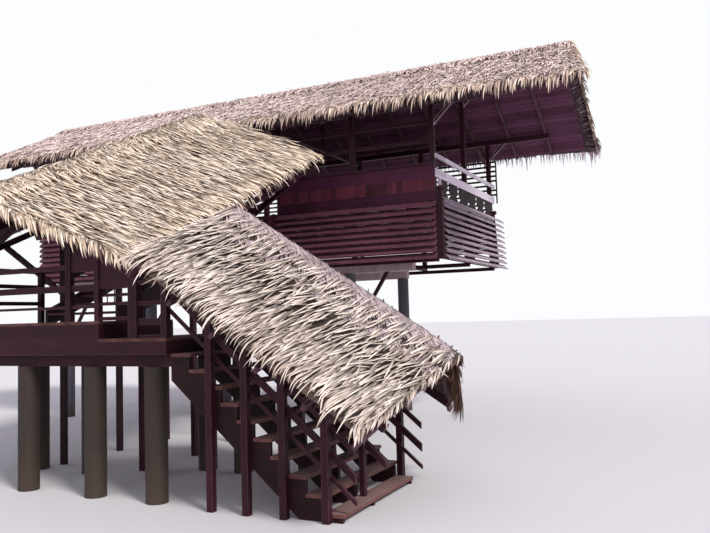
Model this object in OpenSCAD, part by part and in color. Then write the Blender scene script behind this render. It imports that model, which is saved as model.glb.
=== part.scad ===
// Stilt house: a timber pavilion on round concrete columns under a long thatched gable roof,
// reached by two roofed flights of steps with a railed landing between them.
// X runs along the main ridge, Y across it, Z up. The front wall stands at x = 0.

/* [Ground and columns] */
// height of the round columns
column_h = 3640; // [2500:10:4500]
// diameter of the round columns
column_d = 300; // [200:5:450]
// distance of the first column from the front wall
column_first = 2400; // [1500:50:3500]
// distance from column to column along the house
column_step = 3000; // [2000:50:4000]
// distance of the column rows from the long walls
column_inset = 600; // [400:10:1000]
// depth of the concrete beams
beam_h = 220; // [150:5:350]
// width of the concrete beams
beam_w = 220; // [150:5:350]
// distance of the near beam end from the front wall
beam_back = 750; // [300:50:1500]
// depth of the long frame beams beside the concrete ones
long_h = 90; // [60:5:150]
// reach of a column brace along the beam
brace_run = 900; // [500:10:1200]
// height of a column brace
brace_drop = 1250; // [800:10:1500]

/* [Pavilion] */
// distance from wall post to wall post
bay = 1950; // [1500:10:2500]
// distance between the two long walls
wall_gap = 4650; // [3500:10:6000]
// thickness of the wall posts
post_w = 110; // [80:2:160]
// width of the lower frame beams
frame_w = 110; // [80:2:160]
// depth of the lower frame beams
frame_h = 120; // [80:5:200]
// height of the floor above the ground
floor_z = 5120; // [4700:10:5600]
// thickness of the floor boards
floor_t = 40; // [20:1:60]
// depth of the floor joists
joist_h = 130; // [90:5:200]
// width of the floor joists
joist_w = 60; // [40:2:90]
// distance from joist to joist
joist_step = 650; // [400:10:900]
// height of the sill above the floor
sill_rise = 820; // [600:10:1000]
// depth of the wall boarding below the floor line of the slats
wall_t = 25; // [15:1:40]
// height of the band of upright boards
band_h = 270; // [150:10:400]
// height of the plain board under the band
base_board_h = 230; // [150:10:350]
// distance of the shelf rail below the wall plates
shelf_drop = 825; // [700:5:900]
// distance of the upper rail below the wall plates
upper_drop = 390; // [250:5:500]

/* [Slatted skirt] */
// how far a slat leans out from the wall
slat_out = 100; // [60:2:130]
// how far a slat falls over that width
slat_drop = 96; // [60:2:130]
// upright thickness of a slat
slat_t = 32; // [20:1:45]
// distance from slat to slat
slat_step = 143; // [135:1:200]
// number of slats on the near side and the back
slat_n = 9; // [6:1:12]
// number of slats on the far side
far_slat_n = 6; // [4:1:9]
// number of slats on the front
front_slat_n = 10; // [6:1:12]
// outward lean of the front slats in degrees
front_lean = 3; // [0:1:12]
// how far the front slats run past the far post
front_run = 560; // [200:10:1000]

/* [Sawn balusters] */
// distance from one sawn board to the next
cut_step = 755; // [600:5:780]
// width of the gap between two sawn boards
cut_gap = 130; // [60:5:180]
// depth of the cross arm cut into each board
cut_arm = 100; // [40:5:160]

/* [Main roof] */
// rise of the roof per unit of width
main_rise = 0.5; // [0.4:0.01:0.7]
// height of the thatch apex
main_apex = 8860; // [8400:10:9400]
// thickness of the thatch measured upright
main_thatch = 220; // [150:5:320]
// half width of the thatch
main_half = 3400; // [3000:10:3900]
// how far the ridge flies past the front wall
main_fly = 2690; // [1500:10:3200]
// how far the ridge flies past the back wall
main_tail = 1600; // [800:10:2200]
// how far the near front corner reaches beyond the ridge end
corner_fly = 800; // [0:10:1000]
// depth of the rafters measured upright
rafter_h = 115; // [80:5:160]
// thickness of the rafters
rafter_w = 70; // [50:2:100]
// depth of the wall plates
plate_h = 140; // [100:5:200]
// how far the wall plates fly past the front wall
plate_fly = 1690; // [1000:10:2200]

/* [Upper flight] */
// distance from the front wall to the middle of the flight
up_mid = 4870; // [4600:10:5100]
// width of the flight over its strings
up_w = 1800; // [1500:10:1900]
// number of treads
up_n = 13; // [10:1:16]
// height of the upper landing floor
land_hi = 2660; // [2500:10:2800]
// plan length of the flight
up_run = 5340; // [5000:10:5600]
// angle of the flight roof in degrees
up_tilt = 24.2; // [20:0.1:28]
// rise of the flight roof per unit of width
up_rise = 0.447; // [0.4:0.001:0.55]
// height of the lower end of the flight roof apex
up_apex = 4640; // [4400:10:4900]
// length of the flight roof
up_len = 6300; // [5500:10:6500]
// half width of the flight roof thatch
up_half = 2760; // [2400:10:2900]

/* [Landing] */
// height of the lower landing floor
land_lo = 2390; // [2200:10:2500]
// diameter of the landing piers
pier_d = 330; // [250:5:420]
// height of the landing piers
pier_h = 1970; // [1800:10:2100]

/* [Lower flight] */
// number of treads
lo_n = 10; // [8:1:12]
// height of one step
lo_rise = 228; // [180:1:238]
// depth of one step
lo_going = 264; // [220:1:300]
// clear distance between near and far posts
lo_w = 2440; // [1800:10:2600]
// angle of the stair roof in degrees
lo_tilt = 33.2; // [28:0.1:38]
// rise of the stair roof per unit of width
lo_pitch = 0.548; // [0.45:0.001:0.7]
// height of the upper end of the stair roof apex
lo_apex = 4380; // [4200:10:4600]
// length of the stair roof
lo_len = 4310; // [3800:10:4600]
// half width of the stair roof thatch
lo_half = 1860; // [1600:10:2100]
// height of the handrail above the step line
hand_rise = 980; // [800:10:1100]

/* [Hidden] */
$fn = 48;
fit = 0.3;
bays = 6;
house_l = bays * bay;
ph = post_w / 2;
mid_y = wall_gap / 2;
frame_z = column_h + beam_h;
post_z = frame_z + frame_h;
joist_z = floor_z - floor_t - joist_h;
sill_z = floor_z + sill_rise;
thatch_low = main_apex - main_thatch;
soffit_t = 25;
raf_top = thatch_low - soffit_t;
raf_low = raf_top - rafter_h;
plate_z = raf_low - main_rise * (mid_y - 60) + 2 - plate_h;
ridge_h = 170;
ridge_z = raf_low - ridge_h;
entry_a = 2 * bay;
entry_b = 3 * bay;
skirt_top = floor_z - 20;
up_x0 = -up_mid - up_w / 2;
up_x1 = -up_mid + up_w / 2;
up_y0 = -up_run - 60;
up_step = (floor_z - land_hi) / (up_n + 1);
up_going = up_run / up_n;
string_t = 60;
near_y = -6870;
pw = 100;
up_near = -7600;
lo_y0 = near_y + pw / 2;
lo_y1 = lo_y0 + lo_w;
lo_mid = (lo_y0 + lo_y1) / 2;
lo_x0 = -1665;
lo_post_x = [-1010, -430, 150, 780];
lo_rail_end = 1170;
up_thatch = 200;
up_raf = 90;
lo_thatch = 170;
lo_raf = 80;
lean_x = 120;
lean_z = floor_z + 80;
board_z = floor_z + 500;
stub_z = floor_z + 180;
bar_n = 12;
bar_h = 50;
bar_low = floor_z + 190;
bar_step = (plate_z - 430 - bar_low - bar_h) / (bar_n - 1);
bar_out = 200;
seam = 0.3;
flare_x = 1500;
corner_x = 2560;
up_slope = up_step / up_going;
up_raf_step = (up_len - 360) / 6;
up_plate = up_thatch + up_raf + up_rise * 905;
up_purlin = up_thatch + up_raf + up_rise * 2490;
lo_slope = lo_rise / lo_going;
lo_raf_step = (lo_len - 240) / 5;
lo_bay = (lo_w + pw) / 2;
lo_plate = lo_thatch + lo_raf + lo_pitch * (lo_bay - 45);
centre_y = lo_mid - 200;
gab_low_d = up_thatch + up_raf;
gab_rise = up_rise / cos(up_tilt);
gab_z = up_apex + (near_y - 35 - up_near) * tan(up_tilt) - gab_low_d / cos(up_tilt);

// distance of the leaning slats from the front wall line at a height
function lean_out(z) = lean_x + (lean_z - z) * tan(front_lean);

// height of the step line of the upper flight
function up_line(y) = land_hi + up_step + (y - up_y0) * up_slope;

// height of the step line of the lower flight
function lo_line(x) = land_lo - lo_rise - (x - lo_x0 - lo_going - 25) * lo_slope;

// height of the eave purlin over a line across the upper flight
function strut_z(y) = up_apex + (y - up_near) * tan(up_tilt) - (up_purlin + 110) / cos(up_tilt);

// underside of the gable beam over the landing
function gab_low(x) = gab_z - 130 - gab_rise * (x + up_mid) - fit;

// box from its low corner to its high corner
module slab(a, b) {
  translate(a) cube([b[0] - a[0], b[1] - a[1], b[2] - a[2]]);
}

// the foot of the first near column becomes the origin
module placed() {
  translate([column_first, -column_inset, 0]) children();
}

// outline in the y z plane, drawn out from x0 to x1
module along_x(x0, x1, pts) {
  translate([x0, 0, 0]) rotate([90, 0, 90]) linear_extrude(height = x1 - x0) polygon(pts);
}

// outline in the x z plane, drawn out from y0 to y1
module along_y(y0, y1, pts) {
  translate([0, y1, 0]) rotate([90, 0, 0]) linear_extrude(height = y1 - y0) polygon(pts);
}

// two slopes of even upright thickness as separate solids with a fine seam over y = c
module slopes(x0, x1, c, h0, h1, rise, top, t) {
  for (m = [[1, h1], [-1, h0]])
    along_x(x0, x1, [[c + m[0] * seam / 2, top - rise * seam / 2], [c + m[0] * m[1], top - rise * m[1]],
      [c + m[0] * m[1], top - rise * m[1] - t], [c + m[0] * seam / 2, top - rise * seam / 2 - t]]);
}

// place of the roof over the upper flight
module on_flight() {
  translate([-up_mid, up_near, up_apex]) rotate([0, 0, 90]) rotate([0, -up_tilt, 0]) children();
}

// place of the roof over the lower flight
module on_stair() {
  translate([-1410, lo_mid, lo_apex]) rotate([0, lo_tilt, 0]) children();
}

module round_columns() {
  color("#9aa0a6") placed()
  for (i = [0 : 3])
    for (y = [column_inset, wall_gap - column_inset])
      translate([-column_first - i * column_step, y, 0]) cylinder(d = column_d, h = column_h);
}

module concrete_beams() {
  color("#8f959b") placed()
  for (b = [[column_inset, beam_back], [wall_gap - column_inset, column_first - column_d / 2]])
    slab([-house_l - 55, b[0] - beam_w / 2, column_h], [-b[1], b[0] + beam_w / 2, frame_z]);
}

// cross beams that lie on the concrete ones and carry the posts, with three long beams under them
module lower_frame() {
  color("#4a2326") placed() {
    for (y = [0, mid_y, wall_gap])
      slab([-house_l - ph, y - frame_w / 2, frame_z - long_h], [ph, y + frame_w / 2, frame_z - fit]);
    for (i = [0 : bays])
      slab([-i * bay - ph, -ph, frame_z], [-i * bay + ph, wall_gap + ph, post_z]);
  }
}

module column_braces() {
  color("#4a2326") placed()
  for (r = [[column_inset, 0], [wall_gap - column_inset, 1]])
    for (i = [r[1] : 3])
      translate([-column_first - i * column_step + column_d / 2 - 20, 0, 0])
        difference() {
          along_y(r[0] - 35, r[0] + 35, [[0, column_h - brace_drop - 130], [0, column_h - brace_drop],
            [brace_run - 95, column_h - fit], [brace_run, column_h - fit]]);
          translate([20 - column_d / 2, r[0], 0]) cylinder(d = column_d + 2 * fit, h = column_h);
        }
}

module wall_posts() {
  color("#4a2326") placed()
  for (i = [0 : bays])
    for (y = [0, wall_gap])
      slab([-i * bay - ph, y - ph, post_z], [-i * bay + ph, y + ph, plate_z]);
}

// posts under the ridge beam, two of them on tie beams over the room
module ridge_posts() {
  color("#4a2326") placed() {
    for (x = [0, -house_l])
      slab([x - ph, mid_y - ph, post_z], [x + ph, mid_y + ph, ridge_z]);
    for (x = [-entry_a, -4 * bay]) {
      slab([x - 45, ph + fit, plate_z - 150], [x + 45, wall_gap - ph - fit, plate_z - 20]);
      slab([x - 45, mid_y - 45, plate_z - 20 + fit], [x + 45, mid_y + 45, ridge_z]);
    }
  }
}

// ledgers along the posts with the joists lying on them
module floor_frame() {
  color("#4a2326") placed() {
    slab([-entry_b + ph + fit, -ph, joist_z - 100], [-entry_a - ph - fit, ph - fit, floor_z - floor_t]);
    slab([-house_l - ph, ph, joist_z - 150], [ph, ph + 70, joist_z - fit]);
    slab([-house_l - ph, wall_gap - ph - 70, joist_z - 150], [ph, wall_gap - ph, joist_z - fit]);
    for (i = [0 : 18]) {
      x = i == 0 ? ph - joist_w / 2 : i == 18 ? -house_l + ph + joist_w / 2 + 5 : -i * joist_step;
      slab([x - joist_w / 2, ph + (i == 0 ? 1 : 0), joist_z],
           [x + joist_w / 2, (i == 0 ? mid_y - ph - fit : wall_gap - ph), floor_z - floor_t]);
      if (i == 0)
        slab([x - joist_w / 2, mid_y + ph + fit, joist_z],
             [x + joist_w / 2, wall_gap - ph, floor_z - floor_t]);
    }
  }
}

module floor_boards() {
  color("#5a2e2c") placed()
  difference() {
    union() {
      slab([-house_l - ph, ph + fit, floor_z - floor_t], [ph, wall_gap - ph - fit, floor_z]);
      slab([-entry_b + ph + fit, -ph, floor_z - floor_t], [-entry_a - ph - fit, ph + 1, floor_z]);
    }
    for (x = [0, -house_l])
      slab([x - ph - fit, mid_y - ph - fit, floor_z - 100], [x + ph + fit, mid_y + ph + fit, floor_z + 1]);
  }
}

// outer boarding of the near wall, in two runs beside the way in
module near_wall_boards() {
  color("#6a3a34") placed()
  for (r = [[-entry_a - ph, ph], [-house_l - ph, -entry_b + ph]]) {
    slab([r[0], -ph - wall_t, skirt_top], [r[1], -ph, skirt_top + base_board_h]);
    slab([r[0], -ph - wall_t - 8, skirt_top + base_board_h], [r[1], -ph, skirt_top + base_board_h + band_h]);
    slab([r[0], -ph - wall_t, skirt_top + base_board_h + band_h], [r[1], -ph, sill_z - 40]);
  }
}

module near_wall_sill() {
  color("#6a3a34") placed()
  for (r = [[-entry_a - ph, ph], [-house_l - ph, -entry_b + ph]])
    difference() {
      slab([r[0], -ph - 60, sill_z - 40], [r[1], ph + 30, sill_z]);
      for (i = [0 : bays])
        slab([-i * bay - ph - fit, -ph, sill_z - 50], [-i * bay + ph + fit, ph + 31, sill_z + 10]);
    }
}

module near_wall_rails() {
  color("#4a2326") placed()
  for (i = [0, 1, 3, 4, 5])
    for (z = [plate_z - shelf_drop, plate_z - upper_drop])
      slab([-(i + 1) * bay + ph + fit, -25, z], [-i * bay - ph - fit, 25, z + 75]);
}

// section of a slat: its back is upright on the wall and it slopes down and outwards, to the side s
function blade(d, s, z) =
  [[d, z], [d + s * slat_out, z - slat_drop], [d + s * slat_out, z - slat_drop - slat_t], [d, z - slat_t]];

module side_skirt_slats() {
  color("#6a3a34") placed()
  for (i = [0 : slat_n - 1]) {
    zt = skirt_top - i * slat_step - 3;
    for (r = [[-entry_a - ph, ph], [-house_l - ph, -entry_b + ph]])
      along_x(r[0], r[1], blade(-ph, -1, zt));
    if (i < far_slat_n)
      along_x(-house_l - ph, ph, blade(wall_gap + ph, 1, zt));
    along_y(-ph + fit, wall_gap + ph - fit, blade(-house_l - ph, -1, zt));
  }
}

// slats on the leaning front, which run past the far stub post
module front_skirt_slats() {
  color("#7a4038") placed()
  translate([lean_x, 0, lean_z]) rotate([0, -front_lean, 0])
    for (i = [0 : front_slat_n - 1])
      along_y(ph + fit, wall_gap + front_run, blade(0, 1, 20 - i * slat_step));
}

// stub posts with a knob, and wedge boards that carry the leaning slats
module front_stub_posts() {
  color("#4a2326") placed() {
    slab([ph, -ph, frame_z - 35], [ph + 145, ph, stub_z]);
    translate([ph + 90, 0, stub_z + 62]) sphere(d = 150);
    slab([ph, wall_gap - ph, lean_z - 89], [lean_x - 1, wall_gap + ph, stub_z]);
    translate([ph + 63, wall_gap, stub_z + 52]) sphere(d = 125);
    for (y = [ph + 3, mid_y - ph, wall_gap - ph])
      along_y(y, y + 2 * ph, [[ph, frame_z - 30], [ph, lean_z - 90], [lean_out(lean_z - 90), lean_z - 90],
        [lean_out(frame_z - 30), frame_z - 30]]);
  }
}

// bottom rail, wide board and top rail on the outer faces of the front posts
module front_rails() {
  color("#b9a2ac") placed() {
    slab([ph, ph + 3, lean_z - 90 + fit], [lean_x - 1, wall_gap - ph - 3, lean_z - 1]);
    slab([ph, -ph, board_z], [ph + 32, wall_gap + 170, board_z + 190]);
    slab([ph, -ph, board_z + 430], [ph + 48, wall_gap + 190, board_z + 520]);
  }
}

// wide boards sawn so that the gaps between them form crosses
module front_cutout_balusters() {
  color("#6a3a34") placed()
  for (i = [0 : 5]) {
    y0 = ph + 55 + i * cut_step;
    y1 = y0 + cut_step - cut_gap;
    zb = lean_z;
    zt = board_z;
    along_x(ph + 3, ph + 23, [[y0, zb], [y1, zb], [y1, zb + 85], [y1 - cut_arm, zb + 110],
      [y1 - cut_arm, zb + 175], [y1, zb + 205], [y1, zt], [y0, zt], [y0, zb + 205],
      [y0 + cut_arm, zb + 175], [y0 + cut_arm, zb + 110], [y0, zb + 85]]);
  }
}

module far_side_bars() {
  color("#4a2326") placed()
  for (i = [0 : bar_n - 1]) {
    z = bar_low + i * bar_step;
    free = z + bar_h < board_z || z > board_z + 190;
    clear = z + bar_h < board_z + 430 || z > board_z + 520;
    slab([-house_l - ph, wall_gap + ph, z],
      [free && clear && z > board_z ? bar_out : ph, wall_gap + ph + 34, z + bar_h]);
  }
  color("#4a2326") placed()
  slab([bar_out - 36, wall_gap + ph + 34 + fit, board_z], [bar_out, wall_gap + ph + 60, plate_z - 430]);
}

module back_wall_boards() {
  color("#6a3a34") placed()
  slab([-house_l - ph - wall_t, -ph, skirt_top], [-house_l - ph, wall_gap + ph - fit, sill_z - 40]);
}

module wall_plates() {
  color("#4a2326") placed()
  for (y = [0, wall_gap])
    slab([-house_l - 900, y - 60, plate_z], [plate_fly, y + 60, plate_z + plate_h]);
}

module ridge_beam() {
  color("#4a2326") placed()
  slab([-house_l - 1400, mid_y - 45, ridge_z], [main_fly - 250, mid_y + 45, raf_low]);
}

// rafters in pairs, let in over the wall plates and the ridge beam
module roof_rafters() {
  color("#4a2326") placed()
  difference() {
    for (i = [0 : 14])
      slopes(1600 - i * 975 - rafter_w / 2, 1600 - i * 975 + rafter_w / 2, mid_y, 3150, 3150, main_rise,
        raf_top, rafter_h);
    slab([-14000, -60, plate_z], [3000, 60, plate_z + plate_h]);
    slab([-14000, wall_gap - 60, plate_z], [3000, wall_gap + 60, plate_z + plate_h]);
    slab([-14000, mid_y - 45, ridge_z], [3000, mid_y + 45, raf_low]);
  }
}

module soffit_boards() {
  color("#5a2a30") placed()
  slopes(-house_l - 1450, main_fly - 200, mid_y, 3250, 3250, main_rise, thatch_low - fit,
    soffit_t - fit);
}

module knee_braces() {
  color("#4a2326") placed()
  for (s = [0, 1])
    translate([-s * house_l, 0, 0]) mirror([s, 0, 0]) {
      for (y = [0, wall_gap])
        along_y(y - 35, y + 35, [[ph, plate_z - 440], [ph, plate_z - 340], [ph + 340, plate_z],
          [ph + 440, plate_z]]);
      for (m = [0, 1])
        mirror([m, 0, 0])
          along_y(mid_y - 35, mid_y + 35, [[ph, ridge_z - 580], [ph, ridge_z - 470], [ph + 470, ridge_z],
            [ph + 580, ridge_z]]);
    }
}

// thatch that widens towards the front, where the near corner flies furthest
module main_thatch() {
  color("#c8b490") placed()
  difference() {
    intersection() {
      slopes(-house_l - main_tail, main_fly + 1000, mid_y, main_half + 600, main_half + 600, main_rise,
        main_apex, main_thatch);
      translate([0, 0, 5000]) linear_extrude(height = 5000)
        polygon([[-house_l - main_tail, mid_y - main_half], [flare_x, mid_y - main_half],
          [corner_x, mid_y - main_half - 180], [main_fly + corner_fly, mid_y - main_half - 430],
          [main_fly, mid_y], [main_fly + 30, mid_y + main_half + 300], [1200, mid_y + main_half + 120],
          [-house_l - main_tail, mid_y + main_half]]);
    }
    for (x = [flare_x, corner_x])
      slab([x, mid_y - main_half - 600, 5000], [x + seam, mid_y - seam / 2, 10000]);
  }
}

// caps laid over the ridges of the three roofs
module ridge_caps() {
  color("#b09a78") placed() {
    slopes(-house_l - main_tail - 50, main_fly + 60, mid_y, 330, 330, main_rise, main_apex + 70, 70);
    on_flight() slopes(-40, up_len + 40, 0, 300, 300, up_rise, 60, 60);
    on_stair() slopes(-30, lo_len + 40, 0, 260, 260, lo_pitch, 55, 55);
  }
}

module upper_flight_strings() {
  color("#4a2326") placed()
  for (x = [up_x0, up_x1 - string_t])
    along_x(x, x + string_t, [[up_y0, land_hi], [up_y0, land_hi + up_step + 60],
      [up_y0 + (floor_z - land_hi - up_step - 60) / up_slope, floor_z], [-ph, floor_z],
      [-ph, land_hi + up_step - 260 + up_slope * (-ph - up_y0)],
      [up_y0 + (260 - up_step) / up_slope, land_hi]]);
}

module upper_flight_treads() {
  color("#6a3a34") placed()
  for (k = [1 : up_n])
    slab([up_x0 + string_t + fit, up_y0 + (k - 1) * up_going, land_hi + k * up_step - 40],
         [up_x1 - string_t - fit, up_y0 + k * up_going, land_hi + k * up_step]);
}

module upper_flight_posts() {
  color("#4a2326") placed()
  for (x = [up_x0 - fit - pw, up_x1 + fit]) {
    difference() {
      for (y = [-1950, -3430, -4910])
        slab([x, y - pw / 2, 0], [x + pw, y + pw / 2, 8000]);
      on_flight() slab([-3000, -3500, -up_plate - 120], [9000, 3500, 6000]);
    }
    slab([x, -600 - pw / 2, floor_z - 620], [x + pw, -600 + pw / 2, floor_z + 900]);
  }
}

module upper_flight_rails() {
  color("#4a2326") placed()
  for (x = [up_x0, up_x1 - 45])
    for (h = [480, 900])
      along_x(x, x + 45, [[-4960, up_line(-4960) + h - 90], [-4960, up_line(-4960) + h],
        [-550, up_line(-550) + h], [-550, up_line(-550) + h - 90]]);
}

// ridge beam, two plates on the posts and two purlins near the eaves
module flight_roof_beams() {
  color("#4a2326") placed()
  on_flight() flight_beams();
}

module flight_beams() {
  slab([60, -40, -up_thatch - up_raf - 130], [up_len - 60, 40, -up_thatch - up_raf]);
  for (s = [-1, 1]) {
    slab([60, s * 950 - 45, -up_plate - 120], [up_len - 60, s * 950 + 45, -up_plate + 3]);
    slab([60, s * 2530 - 40, -up_purlin - 110], [up_len - 60, s * 2530 + 40, -up_purlin + 3]);
  }
}

module flight_rafters() {
  color("#4a2326") placed()
  on_flight()
    difference() {
      for (i = [0 : 6])
        slopes(150 + i * up_raf_step, 210 + i * up_raf_step, 0, up_half - 60, up_half - 60, up_rise,
          -up_thatch, up_raf);
      flight_beams();
    }
}

// sloped beams across the lower gable, and struts from the posts to the purlins
module flight_roof_struts() {
  color("#4a2326") placed()
  difference() {
    for (m = [0, 1])
      translate([-up_mid, 0, 0]) mirror([m, 0, 0]) {
        along_y(near_y - 35, near_y + 35, [[seam / 2, gab_z - fit], [2590, gab_z - fit - gab_rise * 2590],
          [2590, gab_z - 130 - gab_rise * 2590], [seam / 2, gab_z - 130]]);
        for (y = [-1950, -4910])
          along_y(y - 30, y + 30, [[up_w / 2 + fit + pw, strut_z(y) - 900],
            [up_w / 2 + fit + pw, strut_z(y) - 1010], [2530, strut_z(y) - 40],
            [2530, strut_z(y) + 60], [2490, strut_z(y) + 60]]);
      }
    on_flight() flight_beams();
  }
}

module flight_thatch() {
  color("#c8b490") placed()
  on_flight() slopes(0, up_len, 0, up_half, up_half, up_rise, 0, up_thatch);
}

module landing_piers() {
  color("#8a7f78") placed()
  for (p = [[-2100, -6700], [-3280, -6700], [-4700, -6700], [-5950, -6700], [-2100, -4450], [-2850, -4450],
            [-3280, -5350], [-4700, -5350], [-5950, -5350]])
    translate([p[0], p[1], 0]) cylinder(d = pier_d, h = pier_h);
}

// bearers on the piers with a deep rim round each level
module landing_frame() {
  color("#4a2326") placed() {
    slab([-6110, -6760, pier_h], [-1720, -6640, pier_h + 180 - fit]);
    slab([-6110, -5410, pier_h], [-3000, -5290, pier_h + 180 - fit]);
    slab([-3000 + fit, -4510, pier_h], [-1720, -4390, pier_h + 180 - fit]);
    rim([-3000 + fit, -6930], [-1720, -4270], pier_h + 180, land_lo - floor_t);
    rim([-6110, -6930], [-3000, -5180], pier_h + 180, land_hi - floor_t);
  }
}

// two long boards with three cross boards between them
module rim(a, b, z0, z1) {
  for (y = [a[1], b[1] - 50])
    slab([a[0], y, z0], [b[0], y + 50, z1]);
  for (x = [a[0], (a[0] + b[0]) / 2 - 25, b[0] - 50])
    slab([x, a[1] + 50 + fit, z0], [x + 50, b[1] - 50 - fit, z1]);
}

module landing_floor() {
  color("#5a2e2c") placed() {
    slab([-3000 + fit, -6930, land_lo - floor_t], [-1720, -4270, land_lo]);
    slab([-6110, -6930, land_hi - floor_t], [-3000, -5180, land_hi]);
  }
}

module landing_posts() {
  color("#4a2326") placed() {
    difference() {
      for (p = [[-2430, 160, land_lo], [-3085, 80, land_hi], [-3680, pw, land_hi], [-6110, pw, land_hi]])
        slab([p[0], near_y - pw / 2, p[2]], [p[0] + p[1], near_y + pw / 2, 6000]);
      for (m = [0, 1])
        translate([-up_mid, 0, 0]) mirror([m, 0, 0])
          along_y(near_y - 200, near_y + 200, [[-1, gab_z - 130], [2800, gab_z - 130 - gab_rise * 2800],
            [2800, 7000], [-1, 7000]]);
      on_flight() flight_beams();
    }
    difference() {
      for (y = [near_y, lo_y1 + pw / 2])
        slab([-1822, y - pw / 2, land_lo], [-1722, y + pw / 2, 6000]);
      on_stair() slab([-3000, -3500, -lo_plate - 110], [9000, 3500, 6000]);
    }
    slab([-3000, -4370, land_lo], [-2910, -4280, land_lo + 1000]);
    slab([-6110, -5270, land_hi], [-6020, -5180, land_hi + 1000]);
  }
}

module landing_rails() {
  color("#5a2a30") placed() {
    along_y(near_y - 25, near_y, [[-3580 + fit, 3420], [-3085 - fit, 3420], [-3085 - fit, gab_low(-3085)],
      [-3580 + fit, gab_low(-3580)]]);
    along_y(near_y - 25, near_y, [[-3005 + fit, 3150], [-2430 - fit, 3150], [-2430 - fit, gab_low(-2430)],
      [-3005 + fit, gab_low(-3005)]]);
    for (r = [[-3580, -3085, 3120, 3220], [-3580, -3085, 2860, 2900], [-3005, -2430, 2890, 2930],
              [-3005, -2430, 2665, 2720], [-2270, -1822, 3180, 3240], [-2270, -1822, 2870, 2930],
              [-2270, -1822, 2580, 2680], [-2270, -1822, 2392, 2440], [-6010, -3680, 3460, 3540],
              [-6010, -3680, 3120, 3220], [-6010, -3680, 2860, 2900]])
      slab([r[0] + fit, near_y - 22, r[2]], [r[1] - fit, near_y + 22, r[3]]);
    for (x = [-2860, -2720, -2580])
      slab([x - 10, near_y - 10, 2930], [x + 10, near_y - 25 + 20, 3150]);
    for (z = [land_lo + 330, land_lo + 640, land_lo + 920])
      slab([-2910 + fit, -4345, z], [-1822 - fit, -4305, z + 70]);
    for (z = [land_hi + 330, land_hi + 640, land_hi + 920])
      slab([-6085, near_y + pw / 2 + fit, z], [-6045, -5270 - fit, z + 70]);
  }
}

module lower_flight_strings() {
  color("#4a2326") placed()
  for (y = [lo_y0 + fit, lo_mid - 260, lo_y1 - 60 - fit])
    along_y(y, y + 60, concat([[-1720 + fit, land_lo - lo_rise - 45]],
      [for (k = [1 : lo_n - 1]) for (j = [0, 1]) [lo_x0 + k * lo_going, land_lo - (k + j) * lo_rise - 45]],
      [[lo_x0 + lo_n * lo_going, land_lo - lo_n * lo_rise - 45], [lo_x0 + lo_n * lo_going, 0],
       [-1720 + fit + 1780 / lo_slope, 0], [-1720 + fit, 1780]]));
}

module lower_flight_treads() {
  color("#6a3a34") placed()
  for (k = [1 : lo_n])
    slab([k == 1 ? -1720 + fit : lo_x0 + (k - 1) * lo_going + fit, lo_y0 + fit, land_lo - k * lo_rise - 45],
         [lo_x0 + k * lo_going + 25, lo_y1 - fit, land_lo - k * lo_rise]);
}

module lower_flight_posts() {
  color("#5a2a2a") placed()
  difference() {
    for (x = lo_post_x)
      for (y = [near_y, lo_y1 + pw / 2])
        slab([x - pw / 2, y - pw / 2, 0], [x + pw / 2, y + pw / 2, 6000]);
    on_stair() slab([-3000, -3500, -lo_plate - 110], [9000, 3500, 6000]);
  }
}

// three rails on each side and one in the middle that lies on its own newels
module lower_flight_rails() {
  color("#4a2326") placed() {
    for (y = [lo_y0 + fit, lo_y1 - 45 - fit])
      for (h = [[hand_rise, 90], [660, 120], [330, 60]])
        slope_rail(y, y + 45, h[0], h[1]);
    slope_rail(centre_y - 45, centre_y + 45, 660, 115);
    for (k = [1, 5, lo_n]) {
      x = lo_x0 + k * lo_going - 175;
      along_y(centre_y - 40, centre_y + 40, [[x - 40, land_lo - k * lo_rise], [x + 40, land_lo - k * lo_rise],
        [x + 40, lo_line(x + 40) + 545 - fit], [x - 40, lo_line(x - 40) + 545 - fit]]);
    }
  }
}

module slope_rail(y0, y1, h, d) {
  along_y(y0, y1, [[-1800, lo_line(-1800) + h - d], [lo_rail_end, lo_line(lo_rail_end) + h - d],
    [lo_rail_end, lo_line(lo_rail_end) + h], [-1800, lo_line(-1800) + h]]);
}

module stair_roof_beams() {
  color("#4a2326") placed()
  on_stair() stair_beams();
}

module stair_beams() {
  slab([40, -40, -lo_thatch - lo_raf - 120], [lo_len - 40, 40, -lo_thatch - lo_raf]);
  for (s = [-1, 1])
    slab([20, s * lo_bay - 45, -lo_plate - 110], [lo_len - 40, s * lo_bay + 45, -lo_plate + 3]);
}

module stair_rafters() {
  color("#4a2326") placed()
  on_stair()
    difference() {
      for (i = [0 : 5])
        slopes(90 + i * lo_raf_step, 150 + i * lo_raf_step, 0, lo_half - 60, lo_half - 60, lo_pitch,
          -lo_thatch, lo_raf);
      stair_beams();
    }
}

module stair_thatch() {
  color("#d2c09c") placed()
  on_stair() slopes(0, lo_len, 0, lo_half, lo_half, lo_pitch, 0, lo_thatch);
}

round_columns();
concrete_beams();
lower_frame();
column_braces();
wall_posts();
ridge_posts();
floor_frame();
floor_boards();
near_wall_boards();
near_wall_sill();
near_wall_rails();
side_skirt_slats();
front_skirt_slats();
front_stub_posts();
front_rails();
front_cutout_balusters();
far_side_bars();
back_wall_boards();
wall_plates();
ridge_beam();
roof_rafters();
soffit_boards();
knee_braces();
main_thatch();
ridge_caps();
upper_flight_strings();
upper_flight_treads();
upper_flight_posts();
upper_flight_rails();
flight_roof_beams();
flight_rafters();
flight_roof_struts();
flight_thatch();
landing_piers();
landing_frame();
landing_floor();
landing_posts();
landing_rails();
lower_flight_strings();
lower_flight_treads();
lower_flight_posts();
lower_flight_rails();
stair_roof_beams();
stair_rafters();
stair_thatch();
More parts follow.
